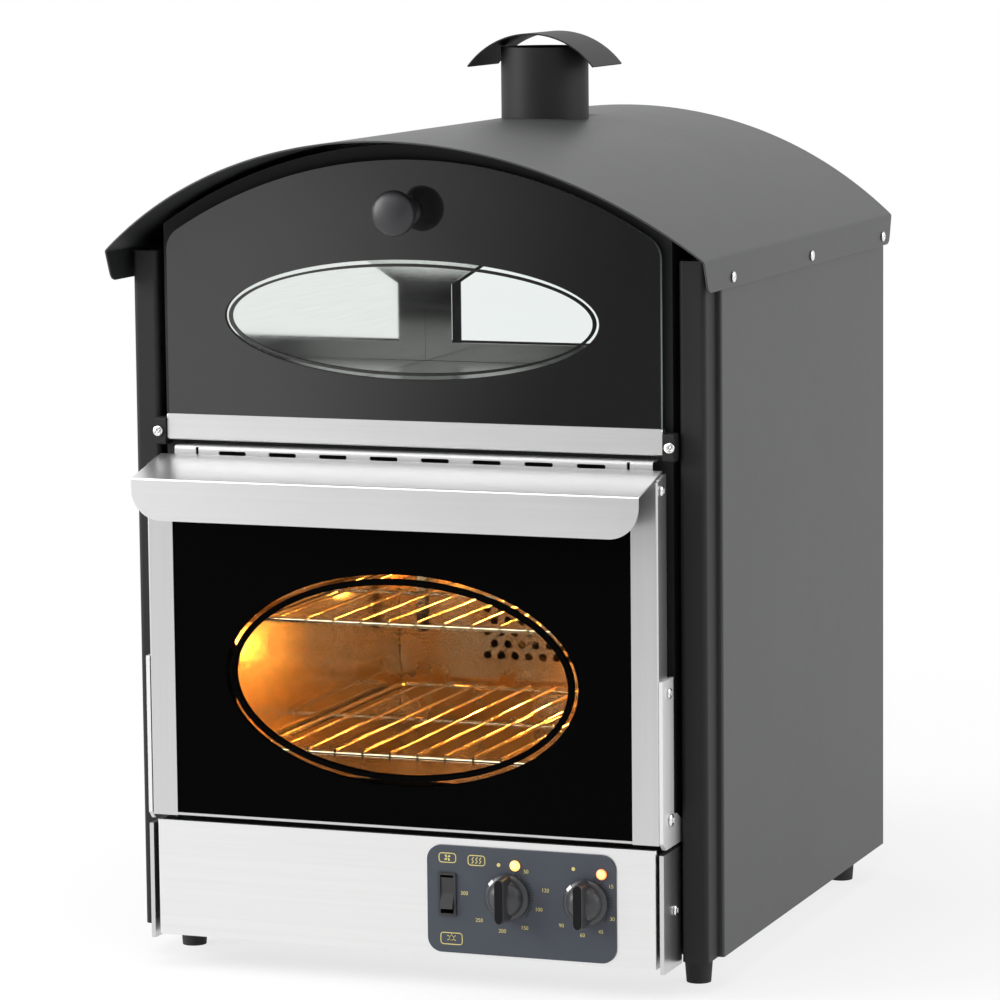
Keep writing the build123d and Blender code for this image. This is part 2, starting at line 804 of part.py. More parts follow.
with BuildPart() as oven_floor_liner:
    floor_points = [
        (liner_front_y, oven_floor_z - floor_lip),
        (liner_front_y, oven_floor_z),
        (oven_depth_end, oven_floor_z),
    ]
    extrude(folded(at_x(-oven_ledge_half), floor_points, liner_gauge, panel_bend, Side.RIGHT),
            amount=2 * oven_ledge_half)
save(oven_floor_liner, "oven_floor_liner")

with BuildPart() as oven_side_liners:
    side_points = [
        (oven_half, oven_floor_z + seat),
        (oven_half, oven_ceiling_z - seat),
        (oven_half + liner_flange, oven_ceiling_z - seat),
    ]
    extrude(folded(at_y(liner_front_y), side_points, liner_gauge, panel_bend, Side.RIGHT),
            amount=liner_front_y - oven_depth_end)
    mirror(about=Plane.YZ)
save(oven_side_liners, "oven_side_liners")

with BuildPart() as oven_top_liner:
    extrude(flat(at_z(oven_ceiling_z), (-oven_ledge_half, liner_front_y), (oven_ledge_half, oven_depth_end)),
            amount=liner_gauge)
    extrude(dots(at_z(oven_ceiling_z), [(0, oven_lamp_y)], steam_hole_radius), amount=liner_gauge,
            mode=Mode.SUBTRACT)
save(oven_top_liner, "oven_top_liner")

element_gap = element_tube_radius + seat
element_gap_angle = 2 * asin(element_leg_spread / 2 / element_ring_radius)
element_leg_z = fan_z - element_ring_radius * cos(element_gap_angle / 2)
element_legs = [(side * element_leg_spread / 2, element_leg_z) for side in (-1, 1)]

with BuildPart() as oven_rear_liner:
    extrude(flat(at_y(oven_rear_y), (-oven_ledge_half, oven_floor_z - floor_lip),
                 (oven_ledge_half, oven_ceiling_z + liner_gauge)), amount=-liner_gauge)
    extrude(dots(at_y(oven_rear_y), [(0, fan_z)], shaft_radius + 2 * swing), amount=-liner_gauge,
            mode=Mode.SUBTRACT)
    extrude(dots(at_y(oven_rear_y), element_legs, element_gap), amount=-liner_gauge, mode=Mode.SUBTRACT)
save(oven_rear_liner, "oven_rear_liner")

with BuildPart() as fan_baffle:
    extrude(flat(at_y(oven_baffle_y), (-oven_half + seat, oven_floor_z + seat),
                 (oven_half - seat, oven_ceiling_z - seat)), amount=-liner_gauge)
    # staggered rows of holes in front of the fan, drawn eight-sided
    with BuildSketch(at_y(oven_baffle_y)):
        for row in range(baffle_hole_rows):
            row_z = fan_z + (row - (baffle_hole_rows - 1) / 2) * baffle_row_pitch
            row_x = baffle_hole_pitch / 4 if row % 2 else -baffle_hole_pitch / 4
            with Locations((row_x, row_z)):
                with GridLocations(baffle_hole_pitch, 1, baffle_hole_columns, 1):
                    RegularPolygon(baffle_hole_radius, 8)
    extrude(amount=-liner_gauge, mode=Mode.SUBTRACT)
    # hot air comes back through a tall slot near each side
    with BuildSketch(at_y(oven_baffle_y)):
        with Locations(*[(side * (oven_half - baffle_slot_inset), fan_z) for side in (-1, 1)]):
            SlotOverall(baffle_slot_length, baffle_slot_width, rotation=90)
    extrude(amount=-liner_gauge, mode=Mode.SUBTRACT)
save(fan_baffle, "fan_baffle")

motor_front_y = oven_rear_y + liner_gauge + seat

with BuildPart() as fan_motor:
    extrude(flat(at_y(motor_front_y), (-motor_plate / 2, fan_z - motor_plate / 2),
                 (motor_plate / 2, fan_z + motor_plate / 2), mouth_corner), amount=-2 * liner_gauge)
    extrude(dots(at_y(motor_front_y), [(0, fan_z)], motor_radius), amount=-motor_length)
    extrude(dots(at_y(motor_front_y), [(0, fan_z)], shaft_radius), amount=motor_front_y - fan_front_y - seat)
save(fan_motor, "fan_motor")

fan_back_y = fan_front_y + fan_depth
fan_blade = curved_blade()

with BuildPart() as fan_wheel:
    with BuildSketch(at_y(fan_back_y)):
        with Locations((0, fan_z)):
            Circle(fan_radius)
    extrude(amount=fan_blade_gauge)
    with BuildSketch(at_y(fan_back_y)):
        with Locations((0, fan_z)):
            Circle(fan_hub_radius)
    extrude(amount=fan_depth)
    # backward-curved blades stand on the back plate
    with BuildSketch(at_y(fan_back_y - fan_blade_gauge / 2)):
        with Locations((0, fan_z)):
            with PolarLocations(0, fan_blade_count):
                add(fan_blade)
    extrude(amount=fan_depth - fan_blade_gauge / 2)
    with BuildSketch(at_y(fan_back_y)):
        with Locations((0, fan_z)):
            Circle(shaft_radius + running)
    extrude(amount=2 * fan_depth, both=True, mode=Mode.SUBTRACT)
save(fan_wheel, "fan_wheel")

element_y = fan_front_y + fan_depth / 2

with BuildPart() as heating_element:
    with BuildLine(at_y(element_y)) as ring:
        CenterArc((0, fan_z), element_ring_radius, degrees(element_gap_angle) / 2 - 90,
                  360 - degrees(element_gap_angle))
    # the round tube is drawn eight-sided
    with BuildSketch(Plane(origin=ring.line @ 0, z_dir=ring.line % 0)):
        RegularPolygon(element_tube_radius, 8)
    sweep(path=ring.line)
    # both ends turn back and run out through the rear liner
    extrude(dots(at_y(element_y - element_tube_radius), element_legs, element_tube_radius),
            amount=element_y - element_tube_radius - oven_rear_y - element_tail)
save(heating_element, "heating_element")

with BuildPart() as shelf_runners:
    runner_x = oven_half - seat
    for level in shelf_z:
        ledge_z = level - shelf_frame_radius - seat - liner_gauge
        runner_points = [
            (runner_x, ledge_z + runner_height),
            (runner_x, ledge_z),
            (runner_x - runner_ledge, ledge_z),
        ]
        extrude(folded(at_y(shelf_front_y), runner_points, liner_gauge, panel_bend, Side.RIGHT),
                amount=shelf_front_y - oven_baffle_y + panel_bend)
    mirror(about=Plane.YZ)
save(shelf_runners, "shelf_runners")


def wire_shelf(level):
    # welded grid: a frame and cross bars of thick wire, with thinner wires laid on top,
    # all drawn six-sided
    edge = shelf_half - shelf_frame_radius
    near_y = shelf_front_y + shelf_frame_radius
    far_y = shelf_front_y + shelf_depth - shelf_frame_radius
    rod_pitch = 2 * edge / (shelf_rod_count - 1)
    bar_pitch = (far_y - near_y) / (shelf_bar_count - 1)
    with BuildPart() as grid:
        with BuildSketch(at_x(-edge)):
            for i in range(shelf_bar_count):
                with Locations((near_y + i * bar_pitch, level)):
                    RegularPolygon(shelf_frame_radius, 6)
        extrude(amount=2 * edge)
        with BuildSketch(at_y(near_y)):
            with Locations((-edge, level), (edge, level)):
                RegularPolygon(shelf_frame_radius, 6)
        extrude(amount=near_y - far_y)
        rod_z = level + shelf_frame_radius + shelf_rod_radius - shelf_weld
        with BuildSketch(at_y(near_y - shelf_rod_radius)):
            for i in range(1, shelf_rod_count - 1):
                with Locations((-edge + i * rod_pitch, rod_z)):
                    RegularPolygon(shelf_rod_radius, 6)
        extrude(amount=near_y - far_y - 2 * shelf_rod_radius)
    return grid


lower_shelf, upper_shelf = [wire_shelf(level) for level in shelf_z]
save(lower_shelf, "lower_shelf")
save(upper_shelf, "upper_shelf")

with BuildPart() as oven_lamp:
    with BuildSketch(at_z(oven_ceiling_z - seat)):
        with Locations((oven_lamp_x, oven_lamp_y)):
            Circle(oven_lamp_radius)
    extrude(amount=-oven_lamp_collar)
    with BuildSketch(at_z(oven_ceiling_z - seat - oven_lamp_collar)):
        with Locations((oven_lamp_x, oven_lamp_y)):
            Circle(oven_lamp_radius - liner_gauge)
    extrude(amount=oven_lamp_collar - oven_lamp_depth, taper=oven_lamp_taper)
save(oven_lamp, "oven_lamp")

with BuildPart() as insulation:
    slab_inner = oven_ledge_half + seat
    slab_outer = panel_half - panel_gauge - seat
    slab_bottom = panel_bottom_z + pan_height + seat
    slab_ceiling = oven_ceiling_z + liner_gauge + seat
    slab_top = display_floor_z - floor_lip - seat
    with BuildSketch(at_y(panel_front_y + panel_gauge + seat)):
        with BuildLine():
            Polyline(
                (slab_inner, slab_bottom), (slab_outer, slab_bottom), (slab_outer, slab_top),
                (-slab_outer, slab_top), (-slab_outer, slab_bottom), (-slab_inner, slab_bottom),
                (-slab_inner, slab_ceiling), (slab_inner, slab_ceiling), close=True,
            )
        make_face()
    extrude(amount=panel_front_y + panel_gauge + seat - oven_rear_y)
save(insulation, "insulation")

# ================================================================ fascia and controls
cheek_rear_y = frame_front_y - seat
plate_front_y = fascia_front_y - seat - plate_thickness
body_width = switch_width - 2 * switch_ledge
body_height = switch_height - 2 * switch_ledge
plinth_screw = [(plinth_screw_y, plinth_screw_z)]

with BuildPart() as fascia_panel:
    fascia_points = [
        (-fascia_half, cheek_rear_y),
        (-fascia_half, fascia_front_y),
        (fascia_half, fascia_front_y),
        (fascia_half, cheek_rear_y),
    ]
    extrude(folded(at_z(fascia_bottom_z), fascia_points, panel_gauge, panel_bend),
            amount=fascia_top_z - fascia_bottom_z)
    # the cheeks stop short of the door's sweep
    extrude(flat(at_x(-roof_half), (fascia_front_y + fascia_hem, fascia_cheek_top_z),
                 (cheek_rear_y + seat, fascia_top_z + seat)), amount=roof_width, mode=Mode.SUBTRACT)
    inner_half = fascia_half - panel_gauge / 2
    for level, reach in ((fascia_top_z - panel_gauge, fascia_hem), (fascia_bottom_z, fascia_foot)):
        extrude(flat(at_z(level), (-inner_half, fascia_front_y + panel_gauge / 2),
                     (inner_half, fascia_front_y + reach)), amount=panel_gauge)
    extrude(flat(at_y(fascia_front_y), (switch_x - body_width / 2 - seat, switch_z - body_height / 2 - seat),
                 (switch_x + body_width / 2 + seat, switch_z + body_height / 2 + seat)),
            amount=-2 * panel_gauge, mode=Mode.SUBTRACT)
    extrude(dots(at_y(fascia_front_y), [(x, knob_z) for x in knob_x], spindle_radius + swing),
            amount=-2 * panel_gauge, mode=Mode.SUBTRACT)
    extrude(dots(at_y(fascia_front_y), lamp_spots, lamp_body_radius + seat), amount=-2 * panel_gauge,
            mode=Mode.SUBTRACT)
    extrude(dots(at_x(-roof_half), plinth_screw, screw_radius + seat), amount=roof_width, mode=Mode.SUBTRACT)
save(fascia_panel, "fascia_panel")

with BuildPart() as control_plate:
    extrude(flat(at_y(fascia_front_y - seat), (plate_x - plate_width / 2, plate_z - plate_height / 2),
                 (plate_x + plate_width / 2, plate_z + plate_height / 2), plate_corner), amount=plate_thickness)
    extrude(flat(at_y(fascia_front_y), (switch_x - body_width / 2 - seat, switch_z - body_height / 2 - seat),
                 (switch_x + body_width / 2 + seat, switch_z + body_height / 2 + seat)),
            amount=2 * plate_thickness, mode=Mode.SUBTRACT)
    extrude(dots(at_y(fascia_front_y), [(x, knob_z) for x in knob_x], spindle_radius + swing),
            amount=2 * plate_thickness, mode=Mode.SUBTRACT)
    extrude(dots(at_y(fascia_front_y), lamp_spots, lamp_body_radius + seat), amount=2 * plate_thickness,
            mode=Mode.SUBTRACT)
save(control_plate, "control_plate")

rim_back_y = plate_front_y - seat

with BuildPart() as switch_bezel:
    extrude(flat(at_y(rim_back_y), (switch_x - switch_width / 2, switch_z - switch_height / 2),
                 (switch_x + switch_width / 2, switch_z + switch_height / 2), switch_ledge), amount=switch_rim)
    extrude(flat(at_y(rim_back_y), (switch_x - body_width / 2, switch_z - body_height / 2),
                 (switch_x + body_width / 2, switch_z + body_height / 2)), amount=-switch_depth)
    pocket_half = body_width / 2 - switch_wall
    pocket_rise = body_height / 2 - switch_wall
    extrude(flat(at_y(rim_back_y - switch_rim), (switch_x - pocket_half, switch_z - pocket_rise),
                 (switch_x + pocket_half, switch_z + pocket_rise)),
            amount=-switch_rim - switch_depth + switch_wall, mode=Mode.SUBTRACT)
    extrude(dots(at_x(switch_x - body_width), [(rocker_pivot_y, switch_z)], rocker_pin_radius + running),
            amount=2 * body_width, mode=Mode.SUBTRACT)
save(switch_bezel, "switch_bezel")


def tilted(y, z):
    # a point of the rocker, turned about its pin to the resting tilt
    turn = radians(rocker_tilt)
    return (rocker_pivot_y + y * cos(turn) + z * sin(turn), switch_z - y * sin(turn) + z * cos(turn))


with BuildPart() as power_switch:
    rocker_half = pocket_half - seat
    with BuildSketch(at_x(switch_x - rocker_half)):
        with BuildLine():
            Polyline(
                tilted(-rocker_front, rocker_half_length), tilted(-rocker_waist, 0),
                tilted(-rocker_front, -rocker_half_length), tilted(0, -rocker_half_length),
                tilted(rocker_back, -rocker_back), tilted(rocker_back, rocker_back),
                tilted(0, rocker_half_length), close=True,
            )
        make_face()
    extrude(amount=2 * rocker_half)
    extrude(dots(at_x(switch_x - body_width / 2), [(rocker_pivot_y, switch_z)], rocker_pin_radius),
            amount=body_width)
save(power_switch, "power_switch")

body_front_y = fascia_front_y + panel_gauge + seat
knob_back_y = plate_front_y - swing


def control_body(x):
    # switch box behind the fascia, with its spindle standing out in front
    with BuildPart() as box:
        extrude(flat(at_y(body_front_y), (x - control_box / 2, knob_z - control_box / 2),
                     (x + control_box / 2, knob_z + control_box / 2)), amount=-control_depth)
        extrude(dots(at_y(body_front_y), [(x, knob_z)], spindle_radius),
                amount=body_front_y - knob_back_y + spindle_reach)
        # two rows of tabs for the wires
        with BuildSketch(at_y(body_front_y + control_depth)):
            with Locations((x, knob_z)):
                with GridLocations(control_box / 2, control_box / 3, 2, 2):
                    Rectangle(panel_gauge, tab_width / 2)
        extrude(amount=-tab_length)
    return box


def control_knob(x):
    # skirt, body and a raised grip across the middle
    with BuildPart() as knob:
        with BuildSketch(at_y(knob_back_y)):
            with Locations((x, knob_z)):
                Circle(knob_radius)
        extrude(amount=knob_skirt)
        chamfer(knob.edges().group_by(Axis.Y)[0], knob_skirt_chamfer)
        with BuildSketch(at_y(knob_back_y)):
            with Locations((x, knob_z)):
                Circle(knob_body_radius)
        extrude(amount=knob_body_height)
        with BuildSketch(at_y(knob_back_y)):
            with Locations((x, knob_z)):
                SlotOverall(2 * knob_body_radius + knob_grip_lap, knob_grip_width, rotation=90)
        extrude(amount=knob_height)
        chamfer(knob.edges().group_by(Axis.Y)[0], knob_grip_chamfer)
        extrude(dots(at_y(knob_back_y), [(x, knob_z)], spindle_radius + running),
                amount=spindle_reach + seat, mode=Mode.SUBTRACT)
    return knob


thermostat_body, timer_body = [control_body(x) for x in knob_x]
save(thermostat_body, "thermostat_body")
save(timer_body, "timer_body")
thermostat_knob, timer_knob = [control_knob(x) for x in knob_x]
save(thermostat_knob, "thermostat_knob")
save(timer_knob, "timer_knob")

with BuildPart() as pilot_lamps:
    lens_back_y = plate_front_y - seat
    extrude(dots(at_y(lens_back_y), lamp_spots, lamp_lens_radius), amount=lamp_dome)
    chamfer(pilot_lamps.edges().group_by(Axis.Y)[0], lamp_chamfer)
    extrude(dots(at_y(lens_back_y), lamp_spots, lamp_body_radius), amount=-lamp_tail)
save(pilot_lamps, "pilot_lamps")

# ================================================================ oven door
glass_y = door_front_y + door_gauge + seat                # front face of the outer pane
rail_wall_y = glass_y + glass_thickness + seat
canopy_rear_y = door_rear_y
canopy_slope = (canopy_rear_z - canopy_crease_z) / (canopy_rear_y - canopy_front_y)


def under_canopy(y):
    # height just below the sloping top of the canopy
    return canopy_crease_z + canopy_slope * (y - canopy_front_y) - canopy_gauge - 2 * seat


with BuildPart() as oven_door_frame:
    strip_points = [
        (door_half - door_strip, door_front_y),
        (door_half, door_front_y),
        (door_half, door_rear_y),
    ]
    extrude(folded(at_z(door_bottom_z), strip_points, door_gauge, door_bend),
            amount=canopy_rear_z - door_bottom_z)
    mirror(about=Plane.YZ)
    # everything stops just below the canopy
    with BuildSketch(at_x(-door_half)):
        with BuildLine():
            Polyline(
                (canopy_front_y, under_canopy(canopy_front_y)), (frame_front_y, under_canopy(frame_front_y)),
                (frame_front_y, roof_bend_z), (canopy_front_y, roof_bend_z), close=True,
            )
        make_face()
    extrude(amount=2 * door_half, mode=Mode.SUBTRACT)
    rail_points = [
        (door_rear_y, under_canopy(door_rear_y) - door_top_rail_drop),
        (door_rear_y, under_canopy(door_rear_y)),
        (rail_wall_y, under_canopy(rail_wall_y)),
        (rail_wall_y, under_canopy(rail_wall_y) - door_top_rail_drop),
    ]
    extrude(folded(at_x(door_gauge / 2 - door_half), rail_points, door_gauge, door_bend),
            amount=2 * door_half - door_gauge)
    # foot rail, with a low lip in front of the glass
    foot_points = [
        (door_front_y, door_bottom_z + door_bend + door_lip),
        (door_front_y, door_bottom_z),
        (door_rear_y, door_bottom_z),
    ]
    extrude(folded(at_x(-rail_inner_half), foot_points, door_gauge, door_bend), amount=2 * rail_inner_half)
    extrude(dots(at_x(-roof_half), [(pivot_y, pivot_z)], pivot_radius + running), amount=roof_width,
            mode=Mode.SUBTRACT)
    side_screws = [(arm_screw_y, arm_screw_z), (canopy_screw_y, canopy_screw_z)]
    extrude(dots(at_x(-roof_half), side_screws, screw_radius + seat), amount=roof_width, mode=Mode.SUBTRACT)
save(oven_door_frame, "oven_door_frame")

with BuildPart() as oven_door_glass:
    glass_half_width = door_half - door_gauge - swing
    extrude(flat(at_y(glass_y), (-glass_half_width, door_bottom_z + door_gauge + seat),
                 (glass_half_width, under_canopy(glass_y) - swing)), amount=-glass_thickness)
save(oven_door_glass, "oven_door_glass")

with BuildPart() as oven_door_inner_frame:
    extrude(flat(at_y(pan_rear_y), (-pan_half, pan_bottom_z), (pan_half, pan_top_z), mouth_corner),
            amount=pan_rear_y - door_rear_y)
    offset(amount=-door_gauge, openings=oven_door_inner_frame.faces().sort_by(Axis.Y)[0])
    extrude(flat(at_y(pan_rear_y), (-inner_window_half, inner_window_bottom_z),
                 (inner_window_half, inner_window_top_z), inner_window_corner), amount=2 * door_gauge,
            mode=Mode.SUBTRACT)
    flange_half = door_half - door_gauge - seat
    flange_foot_half = rail_inner_half - door_gauge
    flange_foot_z = door_bottom_z + door_gauge + seat
    flange_top_z = under_canopy(door_rear_y) - door_top_rail_drop - seat
    with BuildSketch(at_y(door_rear_y)):
        with BuildLine():
            Polyline(
                (-flange_foot_half, flange_foot_z), (flange_foot_half, flange_foot_z),
                (flange_foot_half, pan_flange_step_z), (flange_half, pan_flange_step_z),
                (flange_half, flange_top_z), (-flange_half, flange_top_z),
                (-flange_half, pan_flange_step_z), (-flange_foot_half, pan_flange_step_z), close=True,
            )
        make_face()
        with Locations((0, (pan_bottom_z + pan_top_z) / 2)):
            RectangleRounded(2 * (pan_half - door_gauge), pan_top_z - pan_bottom_z - 2 * door_gauge,
                             mouth_corner - door_gauge, mode=Mode.SUBTRACT)
    extrude(amount=door_gauge)
save(oven_door_inner_frame, "oven_door_inner_frame")

with BuildPart() as oven_door_inner_glass:
    extrude(flat(at_y(pan_rear_y - door_gauge - seat),
                 (-inner_window_half - inner_glass_lap, inner_window_bottom_z - inner_glass_lap),
                 (inner_window_half + inner_glass_lap, inner_window_top_z + inner_glass_lap)),
            amount=glass_thickness)
save(oven_door_inner_glass, "oven_door_inner_glass")

with BuildPart() as oven_door_seal:
    seal_in = (oven_mouth_half + seal_inset, oven_mouth_bottom - seal_inset, oven_mouth_top + seal_inset)
    seal_front_y = pan_rear_y + running
    extrude(flat(at_y(seal_front_y), (-seal_in[0] - seal_width, seal_in[1] - seal_width),
                 (seal_in[0] + seal_width, seal_in[2] + seal_width), mouth_corner + seal_width),
            amount=seal_front_y - frame_front_y + seat)
    extrude(flat(at_y(seal_front_y), (-seal_in[0], seal_in[1]), (seal_in[0], seal_in[2]), mouth_corner),
            amount=seal_front_y - frame_front_y + seat, mode=Mode.SUBTRACT)
save(oven_door_seal, "oven_door_seal")

with BuildPart() as canopy_handle:
    canopy_points = [
        (canopy_rear_y, canopy_rear_z),
        (canopy_front_y, canopy_crease_z),
        (canopy_front_y, canopy_flap_z),
    ]
    extrude(folded(at_x(-canopy_half), canopy_points, canopy_gauge, canopy_bend), amount=2 * canopy_half)
    flap_corners = canopy_handle.edges().filter_by(Axis.Y).group_by(Axis.Z)[0]
    fillet(flap_corners, canopy_corner)
save(canopy_handle, "canopy_handle")

arm_inner_x = door_half + seat
arm_outer_x = arm_inner_x + arm_gauge

with BuildPart() as right_hinge_arm:
    with BuildSketch(at_x(arm_inner_x)):
        with BuildLine():
            Polyline(
                (door_front_y, pad_bottom_z + arm_toe), (door_front_y + arm_toe, pad_bottom_z),
                (pad_rear_y, pad_bottom_z), (pad_rear_y, pad_top_z - pad_chamfer_z),
                (pad_rear_y - pad_chamfer_y, pad_top_z), (arm_rear_y, pad_top_z),
                (arm_rear_y, arm_top_z), (door_front_y, arm_top_z), close=True,
            )
        make_face()
    extrude(amount=arm_gauge)
    extrude(dots(at_x(arm_inner_x), [(pivot_y, pivot_z)], pivot_radius + running), amount=arm_gauge,
            mode=Mode.SUBTRACT)
    extrude(dots(at_x(arm_inner_x), [(arm_screw_y, arm_screw_z)], screw_radius + seat), amount=arm_gauge,
            mode=Mode.SUBTRACT)
save(right_hinge_arm, "right_hinge_arm")

with BuildPart() as left_hinge_arm:
    mirror(right_hinge_arm.part, about=Plane.YZ)
save(left_hinge_arm, "left_hinge_arm")


def facing_right(x, y, z):
    return Plane(origin=(x, y, z), x_dir=(0, 1, 0), z_dir=(1, 0, 0))


pivot_bolt = pan_head_screw(pivot_radius, arm_outer_x + seat - ear_inner_x, bolt_head_radius, bolt_head_height)
long_screw = pan_head_screw(screw_radius, screw_long, screw_head_radius, screw_head_height)
short_screw = pan_head_screw(screw_radius, screw_short, screw_head_radius, screw_head_height)

with BuildPart() as door_screws:
    add(pivot_bolt.moved(facing_right(arm_outer_x + seat, pivot_y, pivot_z).location))
    add(long_screw.moved(facing_right(arm_outer_x + seat, arm_screw_y, arm_screw_z).location))
    add(short_screw.moved(facing_right(door_half + seat, canopy_screw_y, canopy_screw_z).location))
    mirror(about=Plane.YZ)
save(door_screws, "door_screws")

with BuildPart() as door_ears:
    with BuildSketch(at_x(ear_inner_x)):
        with Locations((pivot_y, pivot_z)):
            Circle(ear_radius)
        with Locations(((pivot_y + cheek_rear_y) / 2, pivot_z)):
            Rectangle(cheek_rear_y - pivot_y, 2 * ear_radius)
    extrude(amount=ear_gauge)
    extrude(flat(at_y(cheek_rear_y), (ear_inner_x + ear_gauge - ear_foot, pivot_z - ear_radius),
                 (ear_inner_x + ear_gauge, pivot_z + ear_radius)), amount=ear_gauge)
    extrude(dots(at_x(ear_inner_x), [(pivot_y, pivot_z)], pivot_radius + running), amount=ear_gauge,
            mode=Mode.SUBTRACT)
    mirror(about=Plane.YZ)
save(door_ears, "door_ears")

plinth_inner_x = frame_half_width + seat

with BuildPart() as plinth_plates:
    extrude(flat(at_x(plinth_inner_x), (plinth_front_y, plinth_bottom_z), (plinth_rear_y, plinth_top_z)),
            amount=plinth_gauge)
    extrude(dots(at_x(plinth_inner_x), plinth_screw, screw_radius + seat), amount=plinth_gauge,
            mode=Mode.SUBTRACT)
    mirror(about=Plane.YZ)
save(plinth_plates, "plinth_plates")

# ================================================================ display door
glass_arch = roof_radius - glass_roof_gap
channel_front_y = glass_front_y - seat - channel_gauge
channel_rear_y = glass_front_y + glass_thickness + seat + channel_gauge
display_glass_half = display_door_half - seat
display_glass_rear_y = glass_front_y + glass_thickness

with BuildPart() as display_glass:
    glass_foot_z = channel_bottom_z + channel_gauge + seat
    extrude(arched(at_y(glass_front_y), display_glass_half, glass_foot_z, glass_arch), amount=-glass_thickness)
    shoulders = display_glass.edges().filter_by(Axis.Y).group_by(Axis.Z)[-1]
    fillet(shoulders, glass_shoulder)
    extrude(dots(at_y(glass_front_y), [(0, door_knob_z)], door_knob_screw + seat), amount=-glass_thickness,
            mode=Mode.SUBTRACT)
save(display_glass, "display_glass")

with BuildPart() as display_channel:
    channel_points = [
        (channel_front_y, channel_top_z),
        (channel_front_y, channel_bottom_z),
        (channel_rear_y, channel_bottom_z),
        (channel_rear_y, channel_top_z),
    ]
    extrude(folded(at_x(-display_door_half), channel_points, channel_gauge, channel_bend),
            amount=2 * display_door_half)
    # end caps carry the pivot pins
    with BuildSketch(at_x(display_door_half)):
        with Locations(((channel_front_y + channel_rear_y) / 2, (channel_bottom_z + channel_top_z) / 2)):
            RectangleRounded(channel_rear_y - channel_front_y, channel_top_z - channel_bottom_z, channel_bend)
    extrude(amount=channel_gauge)
    with BuildSketch(at_x(-display_door_half)):
        with Locations(((channel_front_y + channel_rear_y) / 2, (channel_bottom_z + channel_top_z) / 2)):
            RectangleRounded(channel_rear_y - channel_front_y, channel_top_z - channel_bottom_z, channel_bend)
    extrude(amount=-channel_gauge)
    extrude(dots(at_x(-roof_half), [(display_pivot_y, display_pivot_z)], display_pin_radius + running),
            amount=roof_width, mode=Mode.SUBTRACT)
save(display_channel, "display_channel")

with BuildPart() as display_pins:
    extrude(dots(at_x(display_door_half), [(display_pivot_y, display_pivot_z)], display_pin_radius),
            amount=display_pin_length)
    mirror(about=Plane.YZ)
save(display_pins, "display_pins")

block_inner_x = display_door_half + channel_gauge + swing
block_screw_x = block_inner_x + block_screw_inset

with BuildPart() as pivot_blocks:
    extrude(flat(at_x(block_inner_x), (block_front_y, block_bottom_z), (cheek_rear_y, block_top_z),
                 block_round), amount=block_width)
    extrude(dots(at_x(block_inner_x), [(display_pivot_y, display_pivot_z)], display_pin_radius + running),
            amount=display_pin_length - channel_gauge, mode=Mode.SUBTRACT)
    extrude(dots(at_y(block_front_y), [(block_screw_x, display_pivot_z)], screw_radius + running),
            amount=block_front_y - cheek_rear_y, mode=Mode.SUBTRACT)
    mirror(about=Plane.YZ)
save(pivot_blocks, "pivot_blocks")

with BuildPart() as display_knob:
    foot_y = glass_front_y - seat
    tip_y = foot_y - door_knob_height
    nut_y = display_glass_rear_y + seat
    # sloping face, rim, waist and foot; the screw ends in a broad nut behind the glass
    with BuildSketch(at_z(door_knob_z)):
        with BuildLine():
            Polyline(
                (0, tip_y), (door_knob_face_radius, tip_y), (door_knob_radius, tip_y + door_knob_rim),
                (door_knob_radius, tip_y + door_knob_rim + door_knob_rim_width),
                (door_knob_neck, tip_y + door_knob_neck_start), (door_knob_neck, foot_y - door_knob_foot),
                (door_knob_base, foot_y - door_knob_foot_rim), (door_knob_base, foot_y),
                (door_knob_screw, foot_y), (door_knob_screw, nut_y), (door_knob_nut, nut_y),
                (door_knob_nut, nut_y + bolt_head_height), (0, nut_y + bolt_head_height), close=True,
            )
        make_face()
    revolve(axis=Axis((0, 0, door_knob_z), (0, 1, 0)))
save(display_knob, "display_knob")

# ================================================================ cabinet screws, terminals
with BuildPart() as cabinet_screws:
    for y in roof_screw_y:
        add(short_screw.moved(facing_right(roof_half + seat, y, roof_screw_z).location))
    add(long_screw.moved(facing_right(plinth_inner_x + plinth_gauge + seat, plinth_screw_y,
                                      plinth_screw_z).location))
    block_screw_seat = Plane(origin=(block_screw_x, block_front_y - seat, display_pivot_z), z_dir=(0, -1, 0))
    add(long_screw.moved(block_screw_seat.location))
    mirror(about=Plane.YZ)
save(cabinet_screws, "cabinet_screws")

with BuildPart() as terminal_block:
    block_y = rear_panel_y - panel_gauge - seat
    extrude(flat(at_y(block_y), (terminal_x - terminal_width / 2, gland_z - terminal_height / 2),
                 (terminal_x + terminal_width / 2, gland_z + terminal_height / 2)), amount=terminal_depth)
    with BuildSketch(at_y(block_y - terminal_depth)):
        with Locations((terminal_x, gland_z)):
            with GridLocations(terminal_width / 3, 1, 3, 1):
                Circle(screw_radius)
    extrude(amount=-terminal_depth / 2, mode=Mode.SUBTRACT)
save(terminal_block, "terminal_block")

